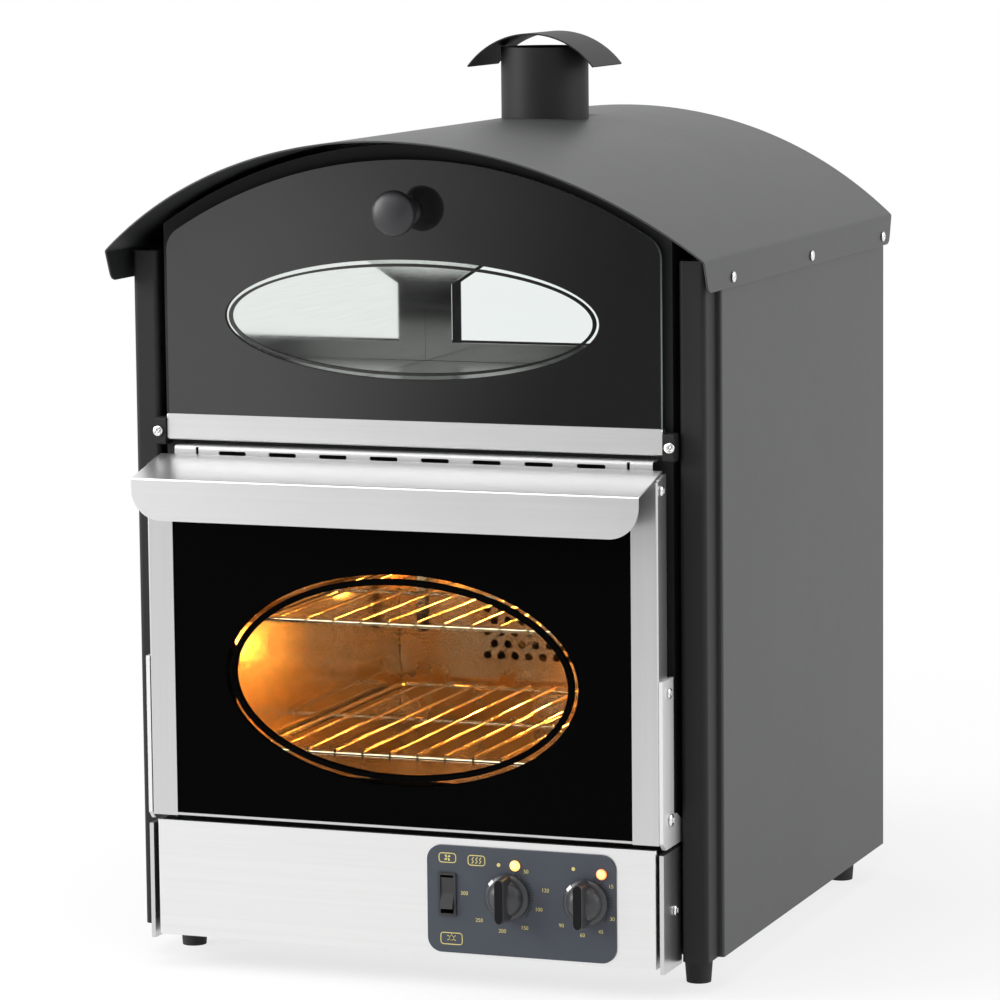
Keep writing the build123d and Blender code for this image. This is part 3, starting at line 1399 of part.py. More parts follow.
with BuildPart() as cable_gland:
    collar_y = rear_panel_y + seat
    # hexagonal collar and cap outside, round nut inside
    with BuildSketch(at_y(collar_y)):
        with Locations((gland_x, gland_z)):
            RegularPolygon(gland_hexagon, 6)
    extrude(amount=-gland_collar)
    with BuildSketch(at_y(collar_y)):
        with Locations((gland_x, gland_z)):
            Circle(gland_cap_radius)
    extrude(amount=-gland_reach)
    extrude(dots(at_y(collar_y), [(gland_x, gland_z)], gland_radius), amount=panel_gauge + seat + gland_collar)
    extrude(dots(at_y(collar_y - panel_gauge - 2 * seat), [(gland_x, gland_z)], gland_nut_radius),
            amount=gland_collar)
    extrude(dots(at_y(collar_y + gland_reach), [(gland_x, gland_z)], gland_bore),
            amount=gland_reach + 2 * panel_gauge + 2 * gland_collar, mode=Mode.SUBTRACT)
save(cable_gland, "cable_gland")
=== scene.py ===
import json
import math

import bmesh
import bpy
from mathutils import Matrix, Vector

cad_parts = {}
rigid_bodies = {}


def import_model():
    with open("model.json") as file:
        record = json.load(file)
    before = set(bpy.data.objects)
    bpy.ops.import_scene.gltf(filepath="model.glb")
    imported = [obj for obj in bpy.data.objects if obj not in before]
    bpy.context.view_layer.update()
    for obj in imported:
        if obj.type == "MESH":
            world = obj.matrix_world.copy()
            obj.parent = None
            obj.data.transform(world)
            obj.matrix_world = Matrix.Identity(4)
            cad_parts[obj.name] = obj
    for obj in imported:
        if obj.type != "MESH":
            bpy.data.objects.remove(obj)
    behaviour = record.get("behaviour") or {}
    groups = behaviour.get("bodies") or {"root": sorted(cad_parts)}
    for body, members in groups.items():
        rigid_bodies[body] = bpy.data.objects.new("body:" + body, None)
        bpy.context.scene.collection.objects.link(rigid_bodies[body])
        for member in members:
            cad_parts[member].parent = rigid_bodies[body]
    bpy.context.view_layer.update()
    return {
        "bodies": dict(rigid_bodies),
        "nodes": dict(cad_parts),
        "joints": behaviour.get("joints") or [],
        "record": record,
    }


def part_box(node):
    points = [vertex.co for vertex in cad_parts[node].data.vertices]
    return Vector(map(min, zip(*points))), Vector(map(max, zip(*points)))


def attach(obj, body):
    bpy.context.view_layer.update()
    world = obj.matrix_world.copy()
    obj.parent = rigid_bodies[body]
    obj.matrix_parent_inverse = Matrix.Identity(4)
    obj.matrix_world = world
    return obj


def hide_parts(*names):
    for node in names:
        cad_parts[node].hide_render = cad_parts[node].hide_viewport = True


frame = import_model()
nodes = frame["nodes"]
mm = 0.001
print("frame loaded:", len(nodes), "nodes")


def inMetres(*sizes):
    return tuple(size * mm for size in sizes)


def middleOf(*names):
    # centre of the box that holds these CAD nodes
    boxes = [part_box(name) for name in names]
    low = [min(box[0][axis] for box in boxes) for axis in range(3)]
    high = [max(box[1][axis] for box in boxes) for axis in range(3)]
    return Vector([(a + b) / 2 for a, b in zip(low, high)])


class Wire:
    # one output of a node; sums written with it add their own Math nodes
    def __init__(self, kit, socket):
        self.kit = kit
        self.socket = socket

    def other(self, name):
        return Wire(self.kit, self.socket.node.outputs[name])

    def __add__(self, value):
        return self.kit.sum("ADD", self, value)

    def __radd__(self, value):
        return self.kit.sum("ADD", value, self)

    def __sub__(self, value):
        return self.kit.sum("SUBTRACT", self, value)

    def __rsub__(self, value):
        return self.kit.sum("SUBTRACT", value, self)

    def __mul__(self, value):
        return self.kit.sum("MULTIPLY", self, value)

    def __rmul__(self, value):
        return self.kit.sum("MULTIPLY", value, self)

    def __truediv__(self, value):
        return self.kit.sum("DIVIDE", self, value)

    def __pow__(self, value):
        return self.kit.sum("POWER", self, value)

    def __lt__(self, value):
        return self.kit.sum("LESS_THAN", self, value)

    def __gt__(self, value):
        return self.kit.sum("GREATER_THAN", self, value)

    def __abs__(self):
        return self.kit.sum("ABSOLUTE", self, 0.0)


class NodeKit:
    def __init__(self, tree):
        self.tree = tree

    def add(self, kind, settings=None, inputs=None, output=0):
        node = self.tree.nodes.new(kind)
        for key, value in (settings or {}).items():
            if key == "stops":
                ramp = node.color_ramp.elements
                while len(ramp) < len(value):
                    ramp.new(1.0)
                for stop, (place, shade) in zip(ramp, value):
                    stop.position = place
                    stop.color = (*shade, 1.0) if isinstance(shade, tuple) else (shade, shade, shade, 1.0)
            else:
                setattr(node, key, value)
        for key, value in (inputs or {}).items():
            if isinstance(value, Wire):
                self.tree.links.new(value.socket, node.inputs[key])
            else:
                node.inputs[key].default_value = value
        return Wire(self, node.outputs[output]) if len(node.outputs) else node

    def sum(self, operation, first, second):
        return self.add("ShaderNodeMath", {"operation": operation}, {0: first, 1: second})

    def mixColour(self, factor, first, second):
        return self.add("ShaderNodeMix", {"data_type": "RGBA"}, {0: factor, 6: first, 7: second}, 2)

    def place(self):
        return self.add("ShaderNodeTexCoord", output="Object")

    def noise(self, scale, detail=3.0, roughness=0.55, vector=None):
        # scale is in cells per metre along X, Y and Z
        mapped = self.add("ShaderNodeMapping", inputs={"Vector": vector or self.place(), "Scale": scale})
        return self.add("ShaderNodeTexNoise", inputs={"Vector": mapped, "Scale": 1.0, "Detail": detail,
                                                       "Roughness": roughness})

    def bump(self, height, depth, strength=1.0):
        return self.add("ShaderNodeBump", inputs={"Height": height, "Distance": depth, "Strength": strength})

    def principled(self, inputs):
        return self.add("ShaderNodeBsdfPrincipled", inputs=inputs)

    def finish(self, shader):
        self.add("ShaderNodeOutputMaterial", inputs={"Surface": shader})


def addPiece(name, mesh, material, *riding):
    # a finished mesh becomes a piece that rides on its body
    if material:
        mesh.materials.clear()
        mesh.materials.append(material)
    piece = bpy.data.objects.new(name, mesh)
    bpy.context.scene.collection.objects.link(piece)
    body, *replaced = riding
    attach(piece, body)
    if replaced:
        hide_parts(*replaced)
    return piece


def settle(form, name, sharp=35.0):
    # closes the seams, turns the faces outwards and keeps folds sharp
    bmesh.ops.remove_doubles(form, verts=form.verts, dist=1e-6)
    bmesh.ops.recalc_face_normals(form, faces=form.faces)
    for face in form.faces:
        face.smooth = True
    for edge in form.edges:
        edge.smooth = len(edge.link_faces) == 2 and edge.calc_face_angle() < math.radians(sharp)
    mesh = bpy.data.meshes.new(name)
    form.to_mesh(mesh)
    form.free()
    return mesh


def bakedMesh(holder, name):
    # plain mesh of what the modifiers, text or tree of an object make
    bpy.context.view_layer.update()
    depsgraph = bpy.context.evaluated_depsgraph_get()
    mesh = bpy.data.meshes.new_from_object(holder.evaluated_get(depsgraph), depsgraph=depsgraph)
    mesh.name = name
    bpy.data.objects.remove(holder)
    return mesh


def holderFor(name, data):
    holder = bpy.data.objects.new(name + "Holder", data)
    bpy.context.scene.collection.objects.link(holder)
    return holder


def lathe(form, profile, steps, centre=(0.0, 0.0, 0.0)):
    # turns (radius, height) points about an upright axis, closed at both ends
    rings = []
    for radius, height in profile:
        if radius < 1e-7:
            rings.append([form.verts.new((centre[0], centre[1], centre[2] + height))] * steps)
            continue
        rings.append([form.verts.new((centre[0] + radius * math.cos(2 * math.pi * i / steps),
                                      centre[1] + radius * math.sin(2 * math.pi * i / steps),
                                      centre[2] + height)) for i in range(steps)])
    for lower, upper in zip(rings, rings[1:]):
        for i in range(steps):
            corners = [lower[i], lower[(i + 1) % steps], upper[(i + 1) % steps], upper[i]]
            corners = list(dict.fromkeys(corners))
            if len(corners) > 2:
                form.faces.new(corners)
    for ring in (rings[0], rings[-1]):
        if len(set(ring)) > 1:
            form.faces.new(ring)


def block(form, low, high):
    corners = [form.verts.new((x, y, z)) for z in (low[2], high[2]) for y in (low[1], high[1]) for x in (low[0], high[0])]
    for loop in ((0, 2, 3, 1), (4, 5, 7, 6), (0, 1, 5, 4), (2, 6, 7, 3), (0, 4, 6, 2), (1, 3, 7, 5)):
        form.faces.new([corners[i] for i in loop])


def outline(form, points, low, high):
    # upright prism over a flat outline of (x, y) points
    below = [form.verts.new((x, y, low)) for x, y in points]
    above = [form.verts.new((x, y, high)) for x, y in points]
    form.faces.new(below[::-1])
    form.faces.new(above)
    for i in range(len(points)):
        j = (i + 1) % len(points)
        form.faces.new((below[i], below[j], above[j], above[i]))


def rounded(mesh, width, segments, angle=30.0):
    # bevels every fold sharper than the angle
    holder = holderFor(mesh.name, mesh)
    bevel = holder.modifiers.new("bevel", "BEVEL")
    bevel.width, bevel.segments, bevel.limit_method = width, segments, "ANGLE"
    bevel.angle_limit = math.radians(angle)
    return bakedMesh(holder, mesh.name)


def growMesh(name, build, sizes, material, seedMesh=None):
    # runs a Geometry Nodes tree whose named inputs are the sizes, and keeps the plain mesh
    tree = bpy.data.node_groups.new(name, "GeometryNodeTree")
    tree.is_modifier = True
    tree.interface.new_socket("Geometry", in_out="INPUT", socket_type="NodeSocketGeometry")
    tree.interface.new_socket("Geometry", in_out="OUTPUT", socket_type="NodeSocketGeometry")
    kinds = {int: "NodeSocketInt", float: "NodeSocketFloat"}
    sockets = {key: tree.interface.new_socket(key, in_out="INPUT", socket_type=kinds[type(value)])
               for key, value in sizes.items()}
    kit = NodeKit(tree)
    source = kit.add("NodeGroupInput", output="Geometry")
    shape = build(kit, {key: source.other(key) for key in sizes}, source)
    solid = kit.add("GeometryNodeRealizeInstances", inputs={"Geometry": shape})
    dressed = kit.add("GeometryNodeSetMaterial", inputs={"Geometry": solid, "Material": material})
    kit.add("NodeGroupOutput", inputs={"Geometry": dressed})
    holder = holderFor(name, seedMesh or bpy.data.meshes.new(name))
    modifier = holder.modifiers.new("tree", "NODES")
    modifier.node_group = tree
    for key, socket in sockets.items():
        modifier[socket.identifier] = sizes[key]
    return bakedMesh(holder, name)


def newMaterial(name):
    material = bpy.data.materials.new(name)
    material.use_nodes = True
    material.node_tree.nodes.clear()
    return material, NodeKit(material.node_tree)


def grey(value):
    return (value, value, value, 1.0)


# ---- finishes

powderCoat = {"name": "powderCoat", "colour": (0.026, 0.027, 0.028, 1.0), "pale": (0.040, 0.041, 0.042, 1.0), "grain": 780.0,
              "roughness": 0.40, "spread": 0.10, "gloss": 0.5, "depth": 0.00012}
# the same black powder coat, darker and with less gloss, for the posts, front frame, flue and pivot blocks: its darker
# colour is painted shade
frontPaint = {"name": "frontPaint", "colour": (0.012, 0.012, 0.013, 1.0), "pale": (0.020, 0.020, 0.021, 1.0), "grain": 900.0,
              "roughness": 0.46, "spread": 0.12, "gloss": 0.24, "depth": 0.00010}


def makePowderCoat(look):
    # textured black: a fine orange-peel skin over slow changes of sheen
    material, kit = newMaterial(look["name"])
    grain = kit.noise((look["grain"],) * 3, 2.0, 0.5)
    cloud = kit.noise((7.0, 7.0, 5.0), 3.0, 0.6)
    dust = kit.noise((90.0, 90.0, 90.0), 4.0, 0.65)
    colour = kit.mixColour(cloud * 0.7 + dust * 0.3, look["colour"], look["pale"])
    roughness = look["roughness"] + look["spread"] * (cloud * 0.6 + dust * 0.4)
    kit.finish(kit.principled({"Base Color": colour, "Roughness": roughness, "Specular IOR Level": look["gloss"],
                               "Normal": kit.bump(grain, look["depth"], 0.35)}))
    return material


# paintedLitScale and paintedShadeScale are painted light: they lighten or darken whole copies of the steel for how
# light falls on their parts
brushedSteel = {"dull": 0.735, "pale": 0.855, "lines": 1500.0, "length": 9.0, "sheet": 0.24, "satin": 0.46,
                "spread": 0.16, "depth": 0.00003, "paintedLitScale": 1.05, "paintedShadeScale": 0.82}


def makeBrushedSteel(name, along, roughness, shade=1.0):
    # satin stainless: fine scratches that all run the same way
    material, kit = newMaterial(name)
    scale = [brushedSteel["lines"]] * 3
    scale["XYZ".index(along)] = brushedSteel["length"]
    lines = kit.noise(tuple(scale), 3.0, 0.6)
    wide = kit.noise(tuple(size / 6 for size in scale), 2.0, 0.5)
    smear = kit.noise((14.0, 14.0, 14.0), 3.0, 0.5)
    # shade scales both colours: painted light, lighter on the canopy, fascia and channel, darker on the door frame,
    # plinth plates, ears and nose rail
    dull, pale = [grey(brushedSteel[key] * shade) for key in ("dull", "pale")]
    colour = kit.mixColour(lines * 0.5 + wide * 0.5, dull, pale)
    roughness = roughness + brushedSteel["spread"] * (lines * 0.45 + wide * 0.2 + smear * 0.35)
    kit.finish(kit.principled({"Base Color": colour, "Metallic": 1.0, "Roughness": roughness,
                               "Normal": kit.bump(lines, brushedSteel["depth"], 0.5)}))
    return material


brightSheet = {"colour": (0.86, 0.86, 0.845, 1.0), "pale": (0.95, 0.95, 0.94, 1.0), "roughness": 0.03, "spread": 0.08,
               "baked": (0.42, 0.24, 0.09, 1.0)}


def makeBrightSheet(name, grime):
    # rolled mirror sheet of the liners; grime dulls it with baked-on film
    material, kit = newMaterial(name)
    lines = kit.noise((12.0, 12.0, 700.0), 2.0, 0.5)
    film = kit.noise((16.0, 16.0, 16.0), 4.0, 0.62)
    clean = kit.mixColour(lines, brightSheet["colour"], brightSheet["pale"])
    colour = kit.mixColour(kit.sum("MINIMUM", film * grime * 1.6, 1.0), clean, brightSheet["baked"])
    roughness = brightSheet["roughness"] + brightSheet["spread"] * (lines * 0.4 + film * 0.6) + film * (0.35 * grime)
    kit.finish(kit.principled({"Base Color": colour, "Metallic": 1.0, "Roughness": roughness}))
    return material


def makeDarkSteel():
    # floor of the display chamber: dulled, brushed across
    material, kit = newMaterial("darkBrushedFloor")
    lines = kit.noise((7.0, 900.0, 900.0), 4.0, 0.65)
    film = kit.noise((11.0, 5.0, 11.0), 4.0, 0.6)
    colour = kit.mixColour(lines * 0.6 + film * 0.4, (0.16, 0.165, 0.16, 1.0), (0.42, 0.42, 0.40, 1.0))
    roughness = 0.16 + 0.30 * (lines * 0.6 + film * 0.4)
    kit.finish(kit.principled({"Base Color": colour, "Metallic": 1.0, "Roughness": roughness,
                               "Normal": kit.bump(lines, 0.00004, 0.5)}))
    return material


def makePlainMetal(name, colour, pale, roughness, spread, size=60.0):
    # cast, plated or oxidised metal with a mottled sheen
    material, kit = newMaterial(name)
    mottle = kit.noise((size,) * 3, 4.0, 0.6)
    fine = kit.noise((900.0,) * 3, 2.0, 0.5)
    kit.finish(kit.principled({"Base Color": kit.mixColour(mottle, colour, pale), "Metallic": 1.0,
                               "Roughness": roughness + spread * mottle, "Normal": kit.bump(fine, 0.00003, 0.3)}))
    return material


def makeMoulding(name, colour, pale, roughness, spread, grain, depth, gloss=0.5):
    # moulded plastic, rubber or enamel: fine grain and a little unevenness
    material, kit = newMaterial(name)
    cells = kit.noise((grain,) * 3, 2.0, 0.5)
    mottle = kit.noise((35.0,) * 3, 3.0, 0.6)
    kit.finish(kit.principled({"Base Color": kit.mixColour(mottle, colour, pale), "Specular IOR Level": gloss,
                               "Roughness": roughness + spread * (cells * 0.5 + mottle * 0.5),
                               "Normal": kit.bump(cells, depth, 0.5)}))
    return material


def makeWool():
    material, kit = newMaterial("mineralWool")
    fibres = kit.noise((60.0, 240.0, 420.0), 5.0, 0.7)
    kit.finish(kit.principled({"Base Color": kit.mixColour(fibres, (0.30, 0.25, 0.12, 1.0), (0.62, 0.56, 0.34, 1.0)),
                               "Roughness": 0.95, "Normal": kit.bump(fibres, 0.0015)}))
    return material


def makeGlow(name, colour, rim, strength, centre, reach):
    # lit lens: hot in the middle, deeper coloured towards its rim
    material, kit = newMaterial(name)
    offset = kit.add("ShaderNodeVectorMath", {"operation": "DISTANCE"}, {0: kit.place(), 1: centre}, "Value")
    edge = kit.add("ShaderNodeMapRange", inputs={"Value": offset, "From Min": reach * 0.45, "From Max": reach})
    light = kit.mixColour(edge, colour, rim)
    kit.finish(kit.principled({"Base Color": light, "Roughness": 0.25, "Emission Color": light,
                               "Emission Strength": strength}))
    return material


def clearCoat(kit, tint, bend):
    # pane that lets light straight through and reflects more towards grazing angles
    gloss = kit.add("ShaderNodeBsdfAnisotropic", inputs={"Color": grey(1.0), "Roughness": 0.02})
    through = kit.add("ShaderNodeBsdfTransparent", inputs={"Color": tint})
    edge = kit.add("ShaderNodeFresnel", inputs={"IOR": bend})
    return kit.add("ShaderNodeMixShader", inputs={0: edge, 1: through, 2: gloss})


def makeClearGlass(name, bend):
    material, kit = newMaterial(name)
    kit.finish(clearCoat(kit, (0.975, 0.985, 0.98, 1.0), bend))
    return material


displayPrint = {"name": "displayPrint", "centre": (0.0, 534.3), "radii": (160.0, 48.0), "ringInset": 3.2,
                "ringWidth": 2.2, "colour": (0.0085, 0.0085, 0.0085, 1.0), "gloss": 0.85, "tint": (0.96, 0.975, 0.97, 1.0), "bend": 1.28}
# the oven pane's warm tint is painted light: it dims the outside light that reaches the oven and warms the view in
# towards the lamp's amber
ovenPrint = {"name": "ovenPrint", "centre": (0.0, 248.0), "radii": (151.0, 85.5), "ringInset": 3.8,
             "ringWidth": 4.8, "colour": (0.0006, 0.0006, 0.0006, 1.0), "gloss": 0.02, "tint": (0.80, 0.74, 0.62, 1.0), "bend": 1.06}


def makePrintedGlass(look):
    # black print over the whole pane, left clear in an oval with a line just inside its edge
    material, kit = newMaterial(look["name"])
    axes = kit.add("ShaderNodeSeparateXYZ", inputs={0: kit.place()}, output="X")
    across = axes - look["centre"][0] * mm
    up = axes.other("Z") - look["centre"][1] * mm

    def inside(inset):
        wide, tall = [(radius - inset) * mm for radius in look["radii"]]
        return (across * across / wide ** 2 + up * up / tall ** 2) < 1.0

    line = inside(look["ringInset"]) - inside(look["ringInset"] + look["ringWidth"])
    facing = kit.add("ShaderNodeSeparateXYZ", inputs={0: kit.add("ShaderNodeTexCoord", output="Normal")}, output="Y")
    pane = abs(facing) > 0.5
    printed = 1.0 - (inside(0.0) - line) * pane
    speck = kit.noise((260.0,) * 3, 3.0, 0.6)
    film = kit.noise((9.0,) * 3, 3.0, 0.6)
    ink = kit.mixColour(pane, (0.42, 0.50, 0.47, 1.0), kit.mixColour(speck, look["colour"], grey(look["colour"][0] * 1.6)))
    solid = kit.principled({"Base Color": ink, "Roughness": 0.035 + 0.05 * film, "Specular IOR Level": look["gloss"]})
    kit.finish(kit.add("ShaderNodeMixShader", inputs={0: printed, 1: clearCoat(kit, look["tint"], look["bend"]), 2: solid}))
    return material


black = makePowderCoat(powderCoat)
paintedShadeBlack = makePowderCoat(frontPaint)
# these steels differ in the way they are brushed and in roughness; their shade factor is painted light and painted
# shade
steelAcross = makeBrushedSteel("brushedSteelAcross", "X", brushedSteel["sheet"], brushedSteel["paintedLitScale"])
steelUpright = makeBrushedSteel("brushedSteelUpright", "Z", brushedSteel["sheet"], brushedSteel["paintedShadeScale"])
railSteel = makeBrushedSteel("railSteel", "X", brushedSteel["satin"], brushedSteel["paintedShadeScale"])
satinSteel = makeBrushedSteel("satinSteel", "Z", brushedSteel["satin"])
mirrorSheet = makeBrightSheet("mirrorSheet", 0.0)
ovenSheet = makeBrightSheet("ovenSheet", 0.55)
bakedSheet = makeBrightSheet("bakedSheet", 1.10)
darkFloor = makeDarkSteel()
zinc = makePlainMetal("zincPlate", (0.42, 0.43, 0.44, 1.0), (0.62, 0.63, 0.64, 1.0), 0.30, 0.25, 120.0)
brightPlate = makePlainMetal("brightPlate", (0.78, 0.78, 0.77, 1.0), (0.90, 0.90, 0.89, 1.0), 0.12, 0.14)
chromeWire = makePlainMetal("chromeWire", (0.72, 0.71, 0.69, 1.0), (0.88, 0.87, 0.85, 1.0), 0.10, 0.16, 200.0)
castMetal = makePlainMetal("castMetal", (0.30, 0.30, 0.31, 1.0), (0.48, 0.48, 0.49, 1.0), 0.42, 0.2, 300.0)
pressedAluminium = makePlainMetal("pressedAluminium", (0.62, 0.62, 0.62, 1.0), (0.78, 0.78, 0.78, 1.0), 0.28, 0.2)
oxidisedSheath = makePlainMetal("oxidisedSheath", (0.07, 0.06, 0.055, 1.0), (0.20, 0.16, 0.13, 1.0), 0.48, 0.25, 150.0)
blackPlastic = makeMoulding("blackPlastic", (0.016, 0.016, 0.018, 1.0), (0.030, 0.030, 0.033, 1.0), 0.33, 0.12, 1400.0, 0.00004)
knobPlastic = makeMoulding("knobPlastic", (0.034, 0.035, 0.038, 1.0), (0.052, 0.053, 0.057, 1.0), 0.26, 0.12, 1400.0, 0.00004)
# near black, matt finish for the front face of the knob grips: painted shade
knobInlay = makeMoulding("knobInlay", (0.006, 0.006, 0.007, 1.0), (0.010, 0.010, 0.011, 1.0), 0.62, 0.12, 1400.0, 0.00003, 0.12)
tickPrint = makeMoulding("tickPrint", (0.008, 0.008, 0.009, 1.0), (0.016, 0.016, 0.017, 1.0), 0.5, 0.1, 1500.0, 0.00002)
plateSkin = makeMoulding("plateSkin", (0.036, 0.044, 0.058, 1.0), (0.048, 0.057, 0.074, 1.0), 0.50, 0.10, 1600.0, 0.00004)
rubber = makeMoulding("rubber", (0.012, 0.012, 0.012, 1.0), (0.028, 0.028, 0.028, 1.0), 0.70, 0.18, 500.0, 0.00010)
whiteEnamel = makeMoulding("whiteEnamel", (0.70, 0.70, 0.68, 1.0), (0.82, 0.82, 0.80, 1.0), 0.28, 0.12, 700.0, 0.00004)
beigePlastic = makeMoulding("beigePlastic", (0.50, 0.46, 0.38, 1.0), (0.62, 0.58, 0.49, 1.0), 0.45, 0.12, 1200.0, 0.00005)
yellowPrint = makeMoulding("yellowPrint", (0.62, 0.52, 0.16, 1.0), (0.74, 0.64, 0.24, 1.0), 0.5, 0.1, 1500.0, 0.00002)
whitePrint = makeMoulding("whitePrint", (0.78, 0.79, 0.78, 1.0), (0.90, 0.90, 0.89, 1.0), 0.5, 0.1, 1500.0, 0.00002)
wool = makeWool()
clearGlass = makeClearGlass("clearGlass", 1.28)
innerGlass = makeClearGlass("innerGlass", 1.08)
displayGlass = makePrintedGlass(displayPrint)
ovenGlass = makePrintedGlass(ovenPrint)
lampGlow = makeGlow("lampGlow", (1.0, 0.72, 0.32, 1.0), (1.0, 0.48, 0.12, 1.0), 3.0, tuple(middleOf("oven_lamp")), 0.020)

finishes = {
    black: ["roof_sheet", "left_side_panel", "right_side_panel", "rear_panel"],
    paintedShadeBlack: ["left_front_post", "right_front_post", "front_frame", "flue_tube", "flue_cap", "pivot_blocks"],
    steelAcross: ["canopy_handle", "fascia_panel", "display_channel"],
    railSteel: ["nose_rail"],
    steelUpright: ["oven_door_frame", "plinth_plates", "door_ears"],
    satinSteel: ["left_hinge_arm", "right_hinge_arm"],
    mirrorSheet: ["display_side_liners", "display_rear_liner", "display_top_liner"],
    ovenSheet: ["oven_side_liners", "oven_floor_liner", "oven_top_liner", "oven_rear_liner", "shelf_runners",
                "oven_door_inner_frame"],
    bakedSheet: ["fan_baffle"],
    darkFloor: ["display_floor"],
    zinc: ["base_pan"],
    brightPlate: ["cabinet_screws", "door_screws", "display_pins"],
    chromeWire: ["upper_shelf", "lower_shelf"],
    castMetal: ["fan_motor"],
    pressedAluminium: ["fan_wheel"],
    oxidisedSheath: ["heating_element"],
    blackPlastic: ["display_knob", "thermostat_knob", "timer_knob", "power_switch", "switch_bezel", "cable_gland"],
    plateSkin: ["control_plate"],
    rubber: ["rubber_feet", "oven_door_seal"],
    whiteEnamel: ["display_lamp", "terminal_block"],
    beigePlastic: ["thermostat_body", "timer_body"],
    wool: ["insulation"],
    clearGlass: ["rear_window"],
    innerGlass: ["oven_door_inner_glass"],
    displayGlass: ["display_glass"],
    ovenGlass: ["oven_door_glass"],
    lampGlow: ["oven_lamp", "pilot_lamps"],
}
for finish, names in finishes.items():
    for name in names:
        slots = nodes[name].data.materials
        slots.clear()
        slots.append(finish)
print("finishes set:", len(finishes))


# ---- camera, floor and light

viewpoint = {"place": (1359.1, -3672.8, 877.1), "turn": 20.107, "dip": 7.190, "roll": -0.538,
             "lens": 167.59, "sensor": 36.0, "lensAxisPixel": (529.594, 472.516), "photoWidth": 1000}


def setCamera(look):
    turn, dip, roll = [math.radians(look[key]) for key in ("turn", "dip", "roll")]
    ahead = Vector((-math.sin(turn) * math.cos(dip), math.cos(turn) * math.cos(dip), -math.sin(dip)))
    right = Vector((math.cos(turn), math.sin(turn), 0.0))
    up = right.cross(ahead)
    tiltedRight = right * math.cos(roll) + up * math.sin(roll)
    tiltedUp = up * math.cos(roll) - right * math.sin(roll)
    data = bpy.data.cameras.new("viewpoint")
    data.lens, data.sensor_width, data.sensor_fit = look["lens"], look["sensor"], "HORIZONTAL"
    halfway = look["photoWidth"] / 2
    data.shift_x = (halfway - look["lensAxisPixel"][0]) / look["photoWidth"]
    data.shift_y = (look["lensAxisPixel"][1] - halfway) / look["photoWidth"]
    data.clip_start, data.clip_end = 0.1, 60.0
    camera = bpy.data.objects.new("viewpoint", data)
    bpy.context.scene.collection.objects.link(camera)
    axes = Matrix((tiltedRight, tiltedUp, -ahead)).transposed().to_4x4()
    camera.matrix_world = Matrix.Translation(Vector(inMetres(*look["place"]))) @ axes
    bpy.context.scene.camera = camera


studio = {"floorSize": 24.0, "floorShade": 0.92, "floorGlow": 0.74, "worldShade": 1.0, "worldFill": 0.42,
          "frontDim": 0.40,     # how much darker metal sees the room in front of the oven
          "wedge": (-0.46, -0.30, 0.0, 0.3), "wedgeDim": 0.92,     # dark part of the room that the glass mirrors
          "lamps": {"softboxLeft": ((-2.3, -1.5, 1.3), 1.5, 62.0), "softboxFront": ((-1.1, -3.4, 2.3), 1.6, 15.0),
                    "sideRight": ((3.0, 0.6, 1.6), 2.0, 34.0), "overhead": ((-0.2, -0.4, 3.0), 2.2, 40.0)}}


def seenDirectly(kit):
    # 1 for rays from the camera, off metal and through glass, 0 for the rest
    path = kit.add("ShaderNodeLightPath", output="Is Camera Ray")
    return kit.sum("MINIMUM", path + path.other("Is Glossy Ray") + path.other("Is Transmission Ray"), 1.0)


def ramp(kit, value, start, end, low=0.0, high=1.0):
    return kit.add("ShaderNodeMapRange", {"interpolation_type": "SMOOTHSTEP"},
                   {"Value": value, "From Min": start, "From Max": end, "To Min": low, "To Max": high})


def darkWedge(kit, place, look):
    # 1 for the directions in front of the oven that its display glass mirrors, seen off glossy surfaces only
    slope = place / kit.sum("MAXIMUM", 0.0 - place.other("Y"), 0.01)
    low, full, lessening, high = look["wedge"]
    glossy = kit.add("ShaderNodeLightPath", output="Is Glossy Ray")
    return glossy * ramp(kit, slope, low, full) * ramp(kit, slope, lessening, high, 1.0, 0.0) * look["wedgeDim"]


